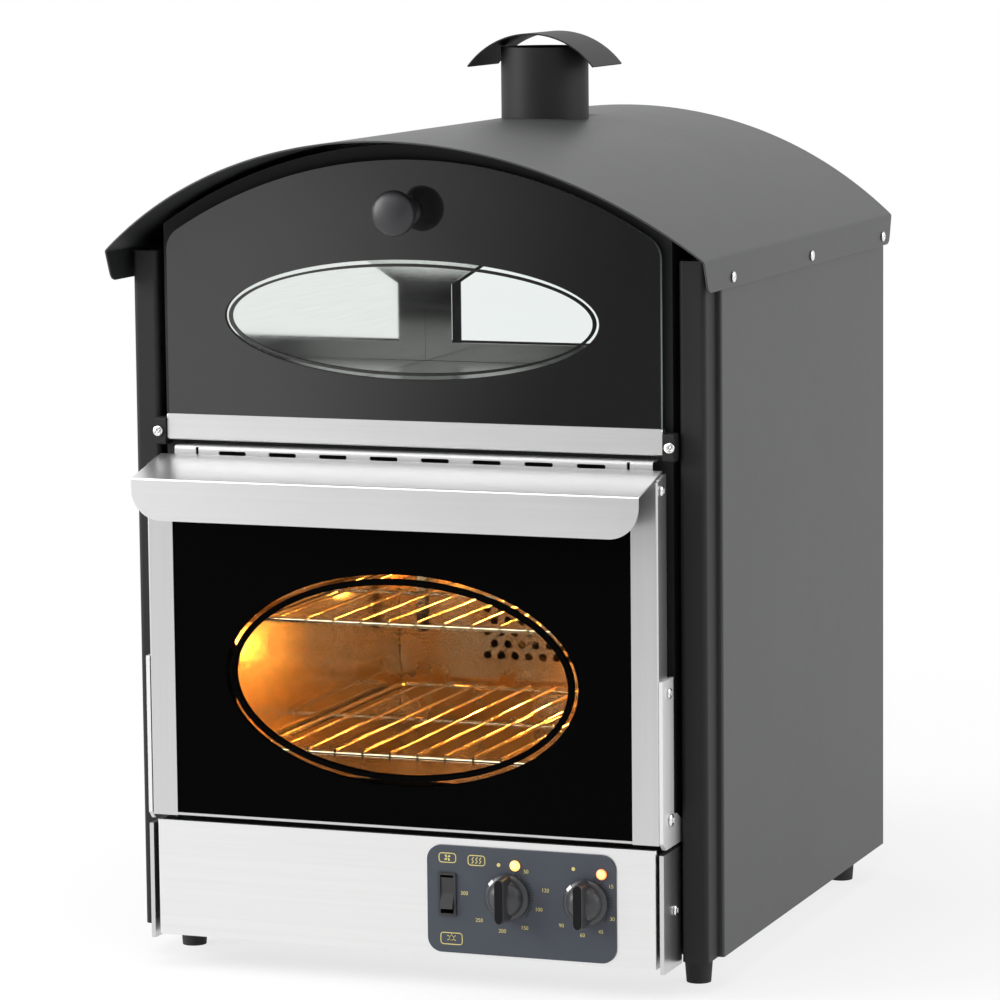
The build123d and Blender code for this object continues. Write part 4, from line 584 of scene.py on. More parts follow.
def setStudio(look):
    world = bpy.data.worlds.new("paleStudio")
    world.use_nodes = True
    world.node_tree.nodes.clear()
    kit = NodeKit(world.node_tree)
    glossy = kit.add("ShaderNodeLightPath", output="Is Glossy Ray")
    ahead = kit.add("ShaderNodeSeparateXYZ", inputs={0: kit.add("ShaderNodeTexCoord", output="Generated")})
    front = ramp(kit, ahead.other("Y"), -0.97, -0.35, 1.0, 0.0)
    shade = (look["worldShade"] - look["frontDim"] * glossy * front) * (1.0 - darkWedge(kit, ahead, look) * front)
    strength = look["worldFill"] + (shade - look["worldFill"]) * seenDirectly(kit)
    light = kit.add("ShaderNodeBackground", inputs={"Color": grey(1.0), "Strength": strength})
    kit.add("ShaderNodeOutputWorld", inputs={"Surface": light})
    bpy.context.scene.world = world

    material, kit = newMaterial("paleFloor")
    matt = kit.add("ShaderNodeBsdfDiffuse", inputs={"Color": grey(look["floorShade"])})
    glow = kit.add("ShaderNodeEmission", inputs={"Color": grey(1.0), "Strength": 1.0})
    spread = kit.add("ShaderNodeVectorMath", {"operation": "LENGTH"}, {0: kit.place()}, "Value")
    away = ramp(kit, spread, 0.3, 1.6, look["floorGlow"], 1.0)
    spot = kit.add("ShaderNodeSeparateXYZ", inputs={0: kit.place()})
    mirrored = 1.0 - darkWedge(kit, spot, look) * ramp(kit, spot.other("Y"), -3.4, -2.2, 1.0, 0.0)
    kit.tree.links.new(mirrored.socket, glow.socket.node.inputs["Strength"])
    kit.finish(kit.add("ShaderNodeMixShader", inputs={0: seenDirectly(kit) * away, 1: matt, 2: glow}))
    half = look["floorSize"] / 2
    mesh = bpy.data.meshes.new("floor")
    mesh.from_pydata([(-half, -half, 0), (half, -half, 0), (half, half, 0), (-half, half, 0)], [], [(0, 1, 2, 3)])
    mesh.materials.append(material)
    floor = bpy.data.objects.new("floor", mesh)
    bpy.context.scene.collection.objects.link(floor)

    for name, (place, size, watts) in look["lamps"].items():
        data = bpy.data.lights.new(name, "AREA")
        data.shape, data.size, data.energy = "SQUARE", size, watts
        lamp = bpy.data.objects.new(name, data)
        lamp.visible_camera = False
        aim = Vector((0.0, 0.0, 0.35)) - Vector(place)
        lamp.matrix_world = Matrix.Translation(place) @ aim.to_track_quat("-Z", "Y").to_matrix().to_4x4()
        bpy.context.scene.collection.objects.link(lamp)


ovenLight = {"drop": 8.0, "watts": 4.2, "radius": 12.0, "colour": (1.0, 0.44, 0.075),
             "glows": (((4.0, 108.0, 206.0), 1.3), ((60.0, 116.0, 246.0), 0.9), ((-132.0, 84.0, 262.0), 0.12),
                       ((30.0, 40.0, 156.0), 0.28)), "glowRadius": 6.0,
             "daylight": 0.10, "daylightSize": (310.0, 8.0), "daylightPlace": (-222.0, 26.0)}     # by each front wire


def lightOven(look):
    # the warm lamp under the oven ceiling
    low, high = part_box("oven_lamp")
    data = bpy.data.lights.new("ovenLight", "POINT")
    data.energy, data.color, data.shadow_soft_size = look["watts"], look["colour"], look["radius"] * mm
    lamp = bpy.data.objects.new("ovenLight", data)
    lamp.location = ((low[0] + high[0]) / 2, (low[1] + high[1]) / 2, low[2] - (look["drop"] + look["radius"]) * mm)
    bpy.context.scene.collection.objects.link(lamp)
    # what the bright sheet of the rear corners throws back
    for place, watts in look["glows"]:
        data = bpy.data.lights.new("rearGlow", "POINT")
        data.energy, data.color, data.shadow_soft_size = watts, look["colour"], look["glowRadius"] * mm
        lamp = bpy.data.objects.new("rearGlow", data)
        lamp.location, lamp.visible_camera = inMetres(*place), False
        bpy.context.scene.collection.objects.link(lamp)
    # daylight that falls through the door's window on the front wires of the shelves
    front, rise = look["daylightPlace"]
    for name in ("upper_shelf", "lower_shelf"):
        data = bpy.data.lights.new("wireLight", "AREA")
        data.shape, data.energy = "RECTANGLE", look["daylight"]
        data.size, data.size_y = [side * mm for side in look["daylightSize"]]
        lamp = bpy.data.objects.new("wireLight", data)
        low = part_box(name)[0]
        wire, place = Vector((0.0, low[1], low[2])), Vector((0.0, front * mm, low[2] + rise * mm))
        lamp.matrix_world = Matrix.Translation(place) @ (wire - place).to_track_quat("-Z", "Y").to_matrix().to_4x4()
        lamp.visible_camera = False
        bpy.context.scene.collection.objects.link(lamp)


bpy.context.scene.view_settings.view_transform = "Standard"
setCamera(viewpoint)
setStudio(studio)
lightOven(ovenLight)
print("studio and camera set")

# ---- roof: one arched sheet, bent down at both sides

roof = {"Half Width": 255.0, "Rise": 93.5, "Bend Level": 587.0, "Flange": 23.8, "Bend Radius": 3.0,
        "Front": -260.0, "Rear": 275.0, "Front Lean": 0.44, "Rear Lean": 0.31, "Corner": 6.0,
        "Columns": 420, "Rows": 9}
roofSheet = {"gauge": 1.5, "flueY": 87.0, "flueHole": 36.0}


def buildRoof(kit, size, source):
    # the sheet's developed width is laid along its arch, bends and flanges, from end to end
    half, rise, bend = size["Half Width"], size["Rise"], size["Bend Radius"]
    radius = (half * half + rise * rise) / (2 * rise)
    axis = size["Bend Level"] + rise - radius
    turned = kit.sum("ARCSINE", (half - bend) / (radius - bend), 0.0)
    bendLength = bend * (math.pi / 2 - turned)
    length = radius * turned + bendLength + size["Flange"]
    grid = kit.add("GeometryNodeMeshGrid", inputs={"Size X": 2.0, "Size Y": 1.0, "Vertices X": size["Columns"],
                                                   "Vertices Y": size["Rows"]})
    spot = kit.add("ShaderNodeSeparateXYZ", inputs={0: kit.add("GeometryNodeInputPosition")})
    side = kit.sum("SIGN", spot, 0.0)
    along = abs(spot) * length
    past = along - radius * turned
    onArch = kit.sum("MINIMUM", along / radius, turned)
    onBend = kit.sum("MAXIMUM", kit.sum("MINIMUM", past, bendLength), 0.0) / bend + turned
    down = kit.sum("MAXIMUM", past - bendLength, 0.0)
    x = radius * kit.sum("SINE", onArch, 0.0) + bend * (kit.sum("SINE", onBend, 0.0) - kit.sum("SINE", turned, 0.0))
    z = (axis + radius * kit.sum("COSINE", onArch, 0.0) - down
         + bend * (kit.sum("COSINE", onBend, 0.0) - kit.sum("COSINE", turned, 0.0)))
    corner = size["Corner"]
    low = kit.sum("MAXIMUM", down - size["Flange"] + corner, 0.0)
    cut = corner - kit.sum("SQRT", corner * corner - low * low, 0.0)
    front = size["Front"] - size["Front Lean"] * (z - size["Bend Level"]) + cut
    rear = size["Rear"] + size["Rear Lean"] * (z - size["Bend Level"]) - cut
    y = front + (spot.other("Y") + 0.5) * (rear - front)
    places = kit.add("ShaderNodeCombineXYZ", inputs={0: x * side * mm, 1: y * mm, 2: z * mm})
    return kit.add("GeometryNodeSetPosition", inputs={"Geometry": grid, "Position": places})


def makeRoof():
    mesh = growMesh("roofShell", buildRoof, roof, black)
    form = bmesh.new()
    form.from_mesh(mesh)
    mesh = settle(form, "roofShell")
    if mesh.polygons[len(mesh.polygons) // 2].normal.z < 0:
        mesh.flip_normals()
    holder = holderFor("roofShell", mesh)
    wall = holder.modifiers.new("wall", "SOLIDIFY")
    wall.thickness, wall.offset = roofSheet["gauge"] * mm, -1.0
    edges = holder.modifiers.new("edges", "BEVEL")
    edges.width, edges.segments, edges.limit_method, edges.angle_limit = 0.5 * mm, 2, "ANGLE", math.radians(50)
    plug = bmesh.new()
    lathe(plug, [(roofSheet["flueHole"] * mm, 0.5), (roofSheet["flueHole"] * mm, 0.8)], 48, (0.0, roofSheet["flueY"] * mm, 0.0))
    plug = holderFor("flueHole", settle(plug, "flueHole"))
    hole = holder.modifiers.new("flueHole", "BOOLEAN")
    hole.object, hole.operation, hole.solver = plug, "DIFFERENCE", "EXACT"
    mesh = bakedMesh(holder, "roofShell")
    bpy.data.objects.remove(plug)
    addPiece("roofShell", mesh, black, "cabinet", "roof_sheet")


makeRoof()
print("roof made")


# ---- screws: one pan head with a cross recess, set on its places by a tree

screwHead = {"radius": 4.3, "height": 2.2, "crown": 0.55, "recess": 2.5, "recessWidth": 0.9, "recessDepth": 1.1,
             "shank": 2.0, "shankLength": 1.5}
roofScrews = {"x": 255.3, "z": 570.0, "y": (-188.0, 28.0, 244.0)}
plinthScrews = {"x": 221.7, "y": -240.0, "z": 70.7}
blockScrews = {"x": 219.2, "y": -240.3, "z": 439.2}
armScrews = {"x": 221.8, "y": -253.0, "z": 247.0}
canopyScrews = {"x": 218.3, "y": -258.5, "z": 407.6}
hingeBolts = {"x": 221.8, "y": -250.6, "z": 145.3, "scale": 1.18}
rearScrews = {"face": 267.5, "spots": ((237.0, 62.0), (237.0, 230.0), (237.0, 398.0), (237.0, 566.0), (150.0, 628.0), (86.0, 50.0)),
              "scale": 0.82}


def headMesh(look):
    form = bmesh.new()
    radius, height = look["radius"], look["height"]
    arc = [(radius * math.sin(a), height * (1 - look["crown"] + look["crown"] * math.cos(a)))
           for a in [math.radians(step) for step in (88, 74, 60, 46, 32, 18, 7)]]
    profile = [(look["shank"], -look["shankLength"]), (look["shank"], 0), (radius * 0.93, 0), (radius, height * 0.16)]
    lathe(form, [(a * mm, b * mm) for a, b in profile + arc + [(0.0, height)]], 24)
    mesh = settle(form, "screwHead", 50)
    cutter = bmesh.new()
    wide, deep = look["recessWidth"] / 2, look["recess"]
    plus = [(wide, wide), (wide, deep), (-wide, deep), (-wide, wide), (-deep, wide), (-deep, -wide),
            (-wide, -wide), (-wide, -deep), (wide, -deep), (wide, -wide), (deep, -wide), (deep, wide)]
    outline(cutter, [(a * mm, b * mm) for a, b in plus], (height - look["recessDepth"]) * mm, (height + 1) * mm)
    tool = holderFor("recess", settle(cutter, "recess"))
    holder = holderFor("screwHead", mesh)
    cut = holder.modifiers.new("recess", "BOOLEAN")
    cut.object, cut.operation, cut.solver = tool, "DIFFERENCE", "EXACT"
    head = bakedMesh(holder, "screwHead")
    bpy.data.objects.remove(tool)
    return head


def scatterScrews(name, spots, body, *replaced):
    # spots are (place in mm, the way the head faces, turn of its cross in degrees, scale)
    points = bpy.data.meshes.new(name + "Points")
    points.from_pydata([inMetres(*place) for place, facing, turn, scale in spots], [], [])
    points.attributes.new("turn", "FLOAT_VECTOR", "POINT")
    points.attributes.new("size", "FLOAT", "POINT")
    for i, (place, facing, turn, scale) in enumerate(spots):
        aim = Vector(facing).to_track_quat("Z", "Y").to_matrix() @ Matrix.Rotation(math.radians(turn), 3, "Z")
        points.attributes["turn"].data[i].vector = aim.to_euler()
        points.attributes["size"].data[i].value = scale
    head = holderFor("headShape", headMesh(screwHead))

    def build(kit, size, source):
        shape = kit.add("GeometryNodeObjectInfo", inputs={"Object": head}, output="Geometry")
        turned = kit.add("FunctionNodeEulerToRotation", inputs={0: kit.add(
            "GeometryNodeInputNamedAttribute", {"data_type": "FLOAT_VECTOR"}, {"Name": "turn"})})
        grown = kit.add("GeometryNodeInputNamedAttribute", {"data_type": "FLOAT"}, {"Name": "size"})
        return kit.add("GeometryNodeInstanceOnPoints", inputs={"Points": source, "Instance": shape,
                                                               "Rotation": turned, "Scale": grown * size["Scale"]})

    mesh = growMesh(name, build, {"Scale": 1.0}, brightPlate, points)
    bpy.data.objects.remove(head)
    addPiece(name, mesh, brightPlate, body, *replaced)


def bothSides(x, y, z, facing, turn, scale=1.0):
    # the same screw on the right and, mirrored, on the left
    return [((x, y, z), facing, turn, scale), ((-x, y, z), (-facing[0], facing[1], facing[2]), 90 - turn, scale)]


def makeScrews():
    spots = []
    for y, turn in zip(roofScrews["y"], (12, 40, 71)):
        spots += bothSides(roofScrews["x"], y, roofScrews["z"], (1, 0, 0), turn)
    spots += bothSides(plinthScrews["x"], plinthScrews["y"], plinthScrews["z"], (1, 0, 0), 28)
    spots += bothSides(blockScrews["x"], blockScrews["y"], blockScrews["z"], (0, -1, 0), 55)
    scatterScrews("cabinetScrewHeads", spots, "cabinet", "cabinet_screws")
    spots = []
    for look, turn in ((armScrews, 20), (canopyScrews, 62), (hingeBolts, 36)):
        spots += bothSides(look["x"], look["y"], look["z"], (1, 0, 0), turn, look.get("scale", 1.0))
    scatterScrews("doorScrewHeads", spots, "oven_door", "door_screws")
    spots = []
    for i, (x, z) in enumerate(rearScrews["spots"]):
        spots += bothSides(x, rearScrews["face"], z, (0, 1, 0), 17 + 31 * i, rearScrews["scale"])
    scatterScrews("rearScrewHeads", spots, "cabinet")


makeScrews()
print("screws made")


# ---- wire shelves

shelf = {"Half Width": 159.0, "Front": -199.0, "Depth": 334.0, "Frame Radius": 2.0, "Rod Radius": 1.4,
         "Rods": 14, "Bars": 3, "Corner": 9.0, "Hook": 5.5}
shelfLevels = {"lower": 172.0, "upper": 281.0}


def buildShelf(kit, size, source):
    # thick frame and cross wires below, thin wires on top that hook down over the front
    reach = (size["Half Width"] - size["Frame Radius"]) * mm
    near = (size["Front"] + size["Frame Radius"]) * mm
    far = (size["Front"] + size["Depth"] - size["Frame Radius"]) * mm
    level = size["Level"] * mm
    thick, thin = size["Frame Radius"] * mm, size["Rod Radius"] * mm

    def spot(x, y, z):
        return kit.add("ShaderNodeCombineXYZ", inputs={0: x, 1: y, 2: z})

    def wire(curve, radius):
        ring = kit.add("GeometryNodeCurvePrimitiveCircle", inputs={"Resolution": 10, "Radius": radius})
        return kit.add("GeometryNodeCurveToMesh", inputs={"Curve": curve, "Profile Curve": ring, "Fill Caps": True})

    def row(start, end, count, line):
        line = kit.add("GeometryNodeInstanceOnPoints", inputs={"Points": kit.add(
            "GeometryNodeMeshLine", {"mode": "END_POINTS"}, {"Count": count, "Start Location": start, "Offset": end}),
            "Instance": line})
        return kit.add("GeometryNodeRealizeInstances", inputs={"Geometry": line})

    frame = kit.add("GeometryNodeCurvePrimitiveQuadrilateral", inputs={"Width": 2 * reach, "Height": far - near})
    frame = kit.add("GeometryNodeTransform", inputs={"Geometry": frame, "Translation": spot(0.0, (near + far) / 2, level)})
    frame = kit.add("GeometryNodeFilletCurve", {"mode": "POLY"}, {"Curve": frame, "Count": 6, "Radius": size["Corner"] * mm})
    across = kit.add("GeometryNodeCurvePrimitiveLine", inputs={"Start": spot(0 - reach, 0.0, 0.0), "End": spot(reach, 0.0, 0.0)})
    step = (far - near) / (size["Bars"] - 1)
    bars = row(spot(0.0, near + step, level), spot(0.0, far - step, level), size["Bars"] - 2, across)
    gap = 2 * reach / (size["Rods"] - 1)
    top = level + thick + thin * 0.7
    along = kit.add("GeometryNodeCurvePrimitiveLine", inputs={"Start": spot(0.0, 0.0, 0.0), "End": spot(0.0, far - near + 2 * thin, 0.0)})
    hook = kit.add("GeometryNodeCurvePrimitiveLine", inputs={"Start": spot(0.0, 0.0, thin), "End": spot(0.0, 0.0, 0 - size["Hook"] * mm)})
    edge = near - thick
    rods = [row(spot(gap - reach, edge, top), spot(reach - gap, edge, top), size["Rods"] - 2, line) for line in (along, hook)]
    shape = kit.add("GeometryNodeJoinGeometry")
    for part, radius in ((frame, thick), (bars, thick), (rods[0], thin), (rods[1], thin)):
        kit.tree.links.new(wire(part, radius).socket, shape.socket.node.inputs["Geometry"])
    return shape


def makeShelves():
    for name, level in shelfLevels.items():
        mesh = growMesh(name + "ShelfWires", buildShelf, {**shelf, "Level": level}, chromeWire)
        form = bmesh.new()
        form.from_mesh(mesh)
        mesh = settle(form, name + "ShelfWires", 50)
        addPiece(name + "ShelfWires", mesh, chromeWire, name + "_rack", name + "_shelf")


makeShelves()
print("shelves made")


# ---- perforated plate in front of the fan

baffle = {"Width": 329.0, "Low": 140.4, "High": 394.6, "Face": 150.0, "Gauge": 1.2, "Hole": 3.8, "Pitch": 13.0,
          "Row Pitch": 10.5, "Columns": 13, "Rows": 13, "Centre": 262.0, "Slot Length": 90.0, "Slot Width": 12.0,
          "Slot Inset": 22.0}


def buildBaffle(kit, size, source):
    # staggered rows of round holes and two tall slots, cut out of one outline
    def spot(x, y, z=0.0):
        return kit.add("ShaderNodeCombineXYZ", inputs={0: x, 1: y, 2: z})

    plate = kit.add("GeometryNodeCurvePrimitiveQuadrilateral", inputs={"Width": size["Width"] * mm,
                                                                       "Height": (size["High"] - size["Low"]) * mm})
    plate = kit.add("GeometryNodeTransform", inputs={"Geometry": plate, "Translation": spot(
        0.0, (size["High"] + size["Low"]) * mm / 2)})
    grid = kit.add("GeometryNodeMeshGrid", inputs={
        "Size X": size["Pitch"] * (size["Columns"] - 1) * mm, "Size Y": size["Row Pitch"] * (size["Rows"] - 1) * mm,
        "Vertices X": size["Columns"], "Vertices Y": size["Rows"]})
    place = kit.add("ShaderNodeSeparateXYZ", inputs={0: kit.add("GeometryNodeInputPosition")})
    row = kit.sum("ROUND", place.other("Y") / (size["Row Pitch"] * mm) + 50.0, 0.0)
    shift = (kit.sum("MODULO", row, 2.0) - 0.5) * size["Pitch"] * mm / 2
    grid = kit.add("GeometryNodeSetPosition", inputs={"Geometry": grid, "Offset": spot(shift, size["Centre"] * mm)})
    ring = kit.add("GeometryNodeCurvePrimitiveCircle", inputs={"Resolution": 14, "Radius": size["Hole"] * mm})
    holes = kit.add("GeometryNodeInstanceOnPoints", inputs={"Points": grid, "Instance": ring})
    slot = kit.add("GeometryNodeCurvePrimitiveQuadrilateral", inputs={"Width": size["Slot Width"] * mm,
                                                                      "Height": size["Slot Length"] * mm})
    slot = kit.add("GeometryNodeFilletCurve", {"mode": "POLY"}, {"Curve": slot, "Count": 5,
                                                                 "Radius": size["Slot Width"] * mm * 0.49})
    reach = (size["Width"] / 2 - size["Slot Inset"]) * mm
    sides = kit.add("GeometryNodeMeshLine", {"mode": "END_POINTS"}, {
        "Count": 2, "Start Location": spot(0 - reach, size["Centre"] * mm), "Offset": spot(reach, size["Centre"] * mm)})
    slots = kit.add("GeometryNodeInstanceOnPoints", inputs={"Points": sides, "Instance": slot})
    lines = kit.add("GeometryNodeJoinGeometry")
    for part in (plate, holes, slots):
        kit.tree.links.new(part.socket, lines.socket.node.inputs["Geometry"])
    lines = kit.add("GeometryNodeRealizeInstances", inputs={"Geometry": lines})
    face = kit.add("GeometryNodeFillCurve", {"mode": "TRIANGLES"}, {"Curve": lines})
    return kit.add("GeometryNodeTransform", inputs={"Geometry": face, "Translation": spot(0.0, size["Face"] * mm),
                                                    "Rotation": (math.radians(90), 0.0, 0.0)})


def makeBaffle():
    mesh = growMesh("perforatedPlate", buildBaffle, baffle, bakedSheet)
    holder = holderFor("perforatedPlate", mesh)
    wall = holder.modifiers.new("wall", "SOLIDIFY")
    wall.thickness, wall.offset = baffle["Gauge"] * mm, 1.0
    addPiece("perforatedPlate", bakedMesh(holder, "perforatedPlate"), bakedSheet, "cabinet", "fan_baffle")


makeBaffle()
print("perforated plate made")


# ---- knobs, lamps and marks on the control plate

dial = {"spots": {"thermostat": (91.0, 78.5), "timer": (157.0, 78.5)}, "back": -269.0, "skirt": 18.6, "skirtHeight": 4.6,
        "body": 14.8, "bodyHeight": 14.5, "gripWidth": 10.0, "gripLength": 38.0, "height": 21.0,
        "markAngle": 48.0, "markReach": (15.7, 18.4), "markWidth": 5.0}
plateFace = -268.4


def facingFront(mesh, x, y, z):
    # stands a shape that was made lying down upright: its top looks out of the front
    mesh.transform(Matrix.Translation(Vector(inMetres(x, y, z))) @ Matrix.Rotation(math.radians(90), 4, "X"))
    return mesh


def makeKnob(name, spot):
    look = dial
    skirt, top = look["skirt"], look["skirtHeight"]
    form = bmesh.new()
    dome = [(look["body"] * math.cos(a), top + (look["bodyHeight"] - top) * math.sin(a))
            for a in [math.radians(step) for step in (0, 18, 36, 52, 68, 80)]]
    profile = [(0.0, 0.4), (skirt - 3.0, 0.4), (skirt - 1.2, 0.0), (skirt - 0.4, 0.0), (skirt, 0.5), (skirt, 2.2), (skirt - 0.5, 3.0),
               (look["body"] + 1.4, top - 0.3), (look["body"] + 0.5, top)] + dome + [(0.0, look["bodyHeight"])]
    lathe(form, [(a * mm, b * mm) for a, b in profile], 72)
    body = settle(form, name + "Body", 40)
    grip = bmesh.new()
    half, reach = look["gripWidth"] / 2, look["gripLength"] / 2
    ends = [(half * math.cos(a), reach - half + half * math.sin(a)) for a in [math.radians(15 * i) for i in range(13)]]
    ring = ends + [(-x, -y) for x, y in ends]
    outline(grip, [(x * mm, y * mm) for x, y in ring], 0.3 * mm, look["height"] * mm)
    # the grip leans in a little towards its top
    for corner in grip.verts:
        if corner.co.z > 0.01:
            corner.co.x *= 0.80
            corner.co.y *= 0.96
    bar = rounded(settle(grip, name + "Grip", 30), 0.9 * mm, 3, 40)
    both = bmesh.new()
    both.from_mesh(body)
    both.from_mesh(bar)
    for face in both.faces:
        face.smooth = True
        # the flat front of the grip is near black and matt: painted shade, darker than the rest of the knob as if it
        # were in shadow
        face.material_index = int(face.calc_center_median().z > (look["height"] - 0.2) * mm)
    mesh = bpy.data.meshes.new(name + "Knob")
    both.to_mesh(mesh)
    both.free()
    for finish in (knobPlastic, knobInlay):
        mesh.materials.append(finish)
    facingFront(mesh, spot[0], look["back"], spot[1])
    addPiece(name + "Knob", mesh, None, name + "_dial", name + "_knob")
    # white mark that lies on the sloping skirt, up and to the left
    line = bmesh.new()
    near, far = look["markReach"]
    block(line, inMetres(-look["markWidth"] / 2, near, top - 1.6), inMetres(look["markWidth"] / 2, far, top))
    for corner in line.verts:
        corner.co.z -= (corner.co.y / mm - near) / (far - near) * 1.2 * mm
    mark = settle(line, name + "IndexLine", 30)
    mark.transform(Matrix.Rotation(math.radians(look["markAngle"]), 4, "Z"))
    facingFront(mark, spot[0], look["back"], spot[1])
    addPiece(name + "IndexLine", mark, whitePrint, name + "_dial")


for name, spot in dial["spots"].items():
    makeKnob(name, spot)
print("dials made")


lens = {"spots": {"amber": (97.5, 104.3), "orange": (170.3, 102.0)}, "radius": 4.3, "height": 2.5, "back": -268.7,
        "rim": 0.5, "strength": 1.5}


def makeLenses():
    # domed lens with a few rings pressed into it
    materials = {"amber": makeGlow("amberLens", (1.0, 0.62, 0.20, 1.0), (0.95, 0.36, 0.05, 1.0), lens["strength"],
                                   inMetres(lens["spots"]["amber"][0], lens["back"] - 2, lens["spots"]["amber"][1]), 0.0056),
                 "orange": makeGlow("orangeLens", (1.0, 0.58, 0.20, 1.0), (0.90, 0.14, 0.03, 1.0), lens["strength"],
                                    inMetres(lens["spots"]["orange"][0], lens["back"] - 2, lens["spots"]["orange"][1]), 0.0048)}
    for name, spot in lens["spots"].items():
        form = bmesh.new()
        radius, height = lens["radius"], lens["height"]
        profile = [(0.0, 0.0), (radius - 0.2, 0.0), (radius, 0.2), (radius, 0.9), (radius - 0.3, 1.1)]
        for step in range(1, 9):
            a = step / 9
            profile.append(((radius - 0.3) * (1 - a), 1.1 + (height - 1.1) * (1 - (1 - a) ** 2) - 0.12 * (step % 2)))
        lathe(form, [(a * mm, b * mm) for a, b in profile + [(0.0, height)]], 40)
        mesh = facingFront(settle(form, name + "Lens", 60), spot[0], lens["back"], spot[1])
        replaced = ("pilot_lamps",) if name == "amber" else ()
        addPiece(name + "Lens", mesh, materials[name], "cabinet", *replaced)


makeLenses()
print("lenses made")


scale = {"Ticks": 19, "Radius": 20.6, "Start": 20.0, "Sweep": 112.0, "Length": 2.4, "Width": 1.0, "Lift": 0.12}
# number, degrees clockwise from the top, distance from the dial's middle
numbers = {"thermostat": [("50", 36, 26.5), ("100", 108, 27.5), ("150", 150, 28.0), ("200", 190, 28.5), ("250", 230, 32.0),
                          ("300", 271, 37.0)],
           "timer": [("15", 56, 25.2), ("30", 119, 25.0), ("45", 152, 26.0), ("60", 187, 27.0), ("90", 226, 29.0),
                     ("120", 282, 35.0)]}
numberLook = {"height": 4.3, "lift": 0.10}


def buildTicks(kit, size, source):
    # small bars on an arc, the first one at the start angle, clockwise from the top
    line = kit.add("GeometryNodeMeshLine", {"mode": "OFFSET"}, {"Count": size["Ticks"], "Offset": (0.0, 0.0, 0.0)})
    share = kit.add("GeometryNodeInputIndex") / (size["Ticks"] - 1)
    angle = (size["Start"] + size["Sweep"] * share) * (math.pi / 180)
    radius = size["Radius"] * mm
    places = kit.add("ShaderNodeCombineXYZ", inputs={0: radius * kit.sum("SINE", angle, 0.0),
                                                     1: radius * kit.sum("COSINE", angle, 0.0), 2: size["Lift"] * mm / 2})
    points = kit.add("GeometryNodeSetPosition", inputs={"Geometry": line, "Position": places})
    long = 1.0 + 0.5 * (kit.sum("MODULO", kit.add("GeometryNodeInputIndex"), 3.0) < 0.5)
    bar = kit.add("GeometryNodeMeshCube", inputs={"Size": kit.add("ShaderNodeCombineXYZ", inputs={
        0: size["Width"] * mm, 1: size["Length"] * mm, 2: size["Lift"] * mm})})
    turned = kit.add("ShaderNodeCombineXYZ", inputs={2: 0.0 - angle})
    stretched = kit.add("ShaderNodeCombineXYZ", inputs={0: 1.0, 1: long, 2: 1.0})
    return kit.add("GeometryNodeInstanceOnPoints", inputs={"Points": points, "Instance": bar, "Rotation": turned,
                                                           "Scale": stretched})


def textMesh(words, height, lift):
    curve = bpy.data.curves.new("words", "FONT")
    curve.body, curve.size, curve.align_x, curve.align_y = words, height * mm, "CENTER", "CENTER"
    curve.extrude = lift * mm / 2
    return bakedMesh(holderFor("words", curve), "words")


def makeScales():
    ticks, words = bmesh.new(), bmesh.new()
    for name, spot in dial["spots"].items():
        arc = growMesh(name + "Ticks", buildTicks, scale, tickPrint)
        arc.transform(Matrix.Translation(Vector(inMetres(*spot, 0))))
        ticks.from_mesh(arc)
        for text, angle, away in numbers[name]:
            turn = math.radians(angle)
            mesh = textMesh(text, numberLook["height"], numberLook["lift"])
            mesh.transform(Matrix.Translation(Vector(inMetres(spot[0] + away * math.sin(turn),
                                                              spot[1] + away * math.cos(turn), 0.1))))
            words.from_mesh(mesh)
    for form, name, ink in ((ticks, "dialTicks", tickPrint), (words, "dialNumbers", yellowPrint)):
        mesh = bpy.data.meshes.new(name)
        form.to_mesh(mesh)
        form.free()
        addPiece(name, facingFront(mesh, 0, plateFace, 0), ink, "cabinet")


makeScales()
print("scales made")


signs = {"fanBox": ((39.8, 107.2), (15.0, 8.2)), "heatBox": ((64.6, 106.4), (15.0, 8.6)), "lampBox": ((42.6, 41.5), (19.0, 10.0)),
         "line": 0.7, "lift": 0.12, "dots": ((83.4, 104.0), (146.5, 104.8)), "dot": 1.6}


def framePoints(wide, tall, corner, inset):
    wide, tall, corner = wide / 2 - inset, tall / 2 - inset, max(corner - inset, 0.2)
    points = []
    for cx, cy, start in ((wide - corner, tall - corner, 0), (corner - wide, tall - corner, 90),
                          (corner - wide, corner - tall, 180), (wide - corner, corner - tall, 270)):
        points += [(cx + corner * math.cos(math.radians(start + step)), cy + corner * math.sin(math.radians(start + step)))
                   for step in (0, 30, 60, 90)]
    return points


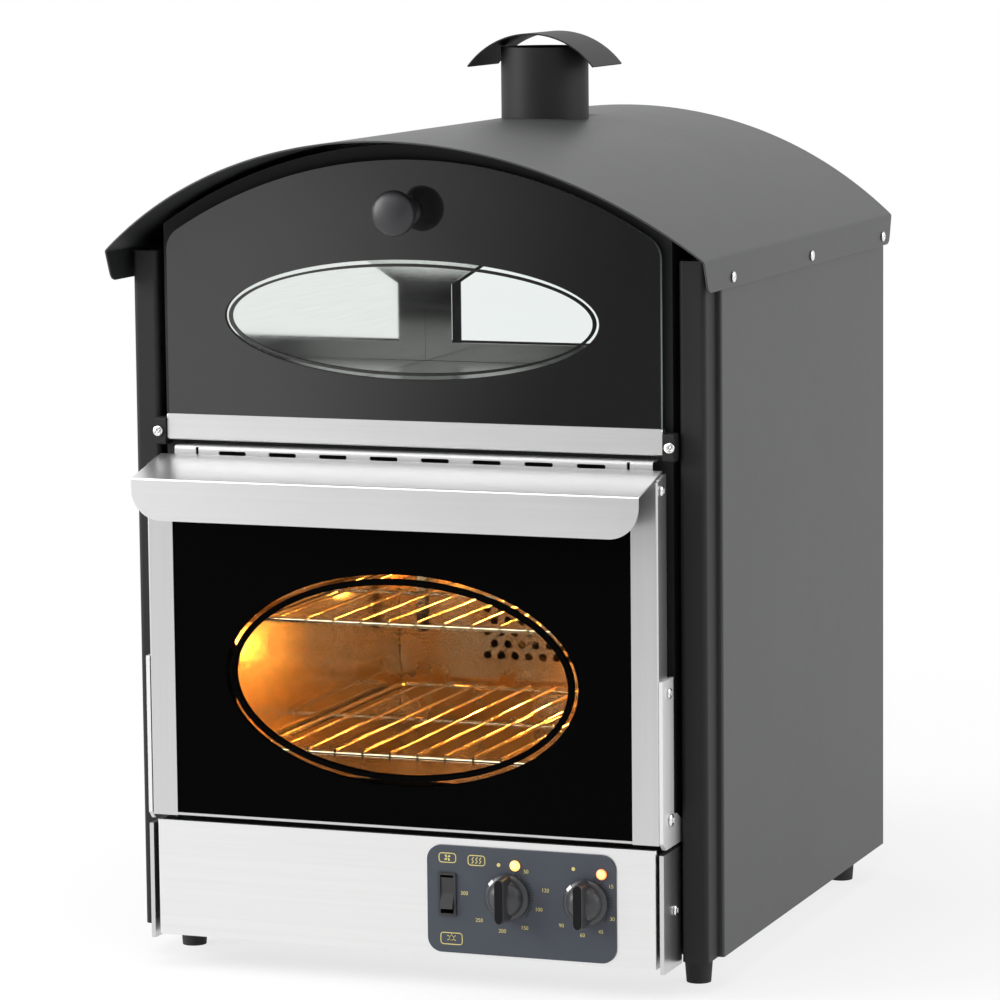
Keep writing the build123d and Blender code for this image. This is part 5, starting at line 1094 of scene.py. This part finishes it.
def makeSigns():
    # plain picture signs: a fan, a heat wave and a lamp, each in a rounded box, and the zero dots
    form = bmesh.new()
    lift = signs["lift"]

    def strip(points, x, z, width):
        # a thin bar along each run of the points
        for (ax, ay), (bx, by) in zip(points, points[1:]):
            run = Vector((bx - ax, by - ay))
            side = Vector((-run.y, run.x)).normalized() * width / 2
            run = run.normalized() * width * 0.3
            corners = [(ax - run.x + side.x, ay - run.y + side.y), (ax - run.x - side.x, ay - run.y - side.y),
                       (bx + run.x - side.x, by + run.y - side.y), (bx + run.x + side.x, by + run.y + side.y)]
            outline(form, [((x + u) * mm, (z + v) * mm) for u, v in corners], 0.0, lift * mm)

    for key in ("fanBox", "heatBox", "lampBox"):
        (x, z), (wide, tall) = signs[key]
        outer, inner = framePoints(wide, tall, 2.6, 0), framePoints(wide, tall, 2.6, signs["line"])
        for i in range(len(outer)):
            j = (i + 1) % len(outer)
            outline(form, [((x + u) * mm, (z + v) * mm) for u, v in (outer[i], inner[i], inner[j], outer[j])], 0.0, lift * mm)
        if key == "fanBox":
            for turn in (20, 110, 200, 290):
                a, b, c = [math.radians(turn + extra) for extra in (0, 28, 58)]
                outline(form, [((x + r * math.cos(t)) * mm, (z + r * math.sin(t)) * mm)
                               for r, t in ((0.5, a), (2.9, a), (3.0, b), (1.6, c))], 0.0, lift * mm)
        elif key == "heatBox":
            for shift in (-3.2, 0.0, 3.2):
                strip([(shift - 0.7, -2.4), (shift + 0.7, -0.9), (shift - 0.7, 0.7), (shift + 0.7, 2.4)], x, z, 0.7)
        else:
            ring = [(1.9 * math.cos(math.radians(20 * i)), 0.5 + 1.9 * math.sin(math.radians(20 * i))) for i in range(19)]
            strip(ring, x, z, 0.6)
            for turn in (-30, 30, 90, 150, 210):
                t = math.radians(turn)
                strip([(2.8 * math.cos(t), 0.5 + 2.8 * math.sin(t)), (3.9 * math.cos(t), 0.5 + 3.9 * math.sin(t))], x, z, 0.6)
    for x, z in signs["dots"]:
        ring = [((x + signs["dot"] * math.cos(math.radians(30 * i))) * mm, (z + signs["dot"] * math.sin(math.radians(30 * i))) * mm)
                for i in range(12)]
        outline(form, ring, 0.0, lift * mm)
    mesh = bpy.data.meshes.new("plateSigns")
    form.to_mesh(mesh)
    form.free()
    addPiece("plateSigns", facingFront(mesh, 0, plateFace, 0), yellowPrint, "cabinet")


makeSigns()
print("signs made")


# ---- round pull knob of the display door

pull = {"centre": (0.0, 621.4), "foot": -236.1, "radius": 18.4, "reach": 38.0}


def makePull():
    radius, reach = pull["radius"], pull["reach"]
    form = bmesh.new()
    face = [(radius * 0.985 * math.cos(a), reach - 6.0 + 6.0 * math.sin(a))
            for a in [math.radians(step) for step in (8, 20, 32, 44, 56, 68, 80)]]
    profile = [(0.0, -6.0), (8.8, -6.0), (9.0, -4.4), (2.4, -4.3), (2.4, 0.0), (11.2, 0.0), (11.5, 0.6), (11.2, 1.8), (9.4, 3.6),
               (8.3, 6.4), (8.0, 11.0), (8.6, 15.5), (10.8, 19.8), (14.4, 23.2), (17.2, 26.0),
               (radius, 29.2), (radius, 30.6)] + face + [(0.0, reach)]
    lathe(form, [(a * mm, b * mm) for a, b in profile], 64)
    mesh = facingFront(settle(form, "pullKnob", 45), pull["centre"][0], pull["foot"], pull["centre"][1])
    addPiece("pullKnob", mesh, blackPlastic, "display_door", "display_knob")


makePull()
print("pull knob made")
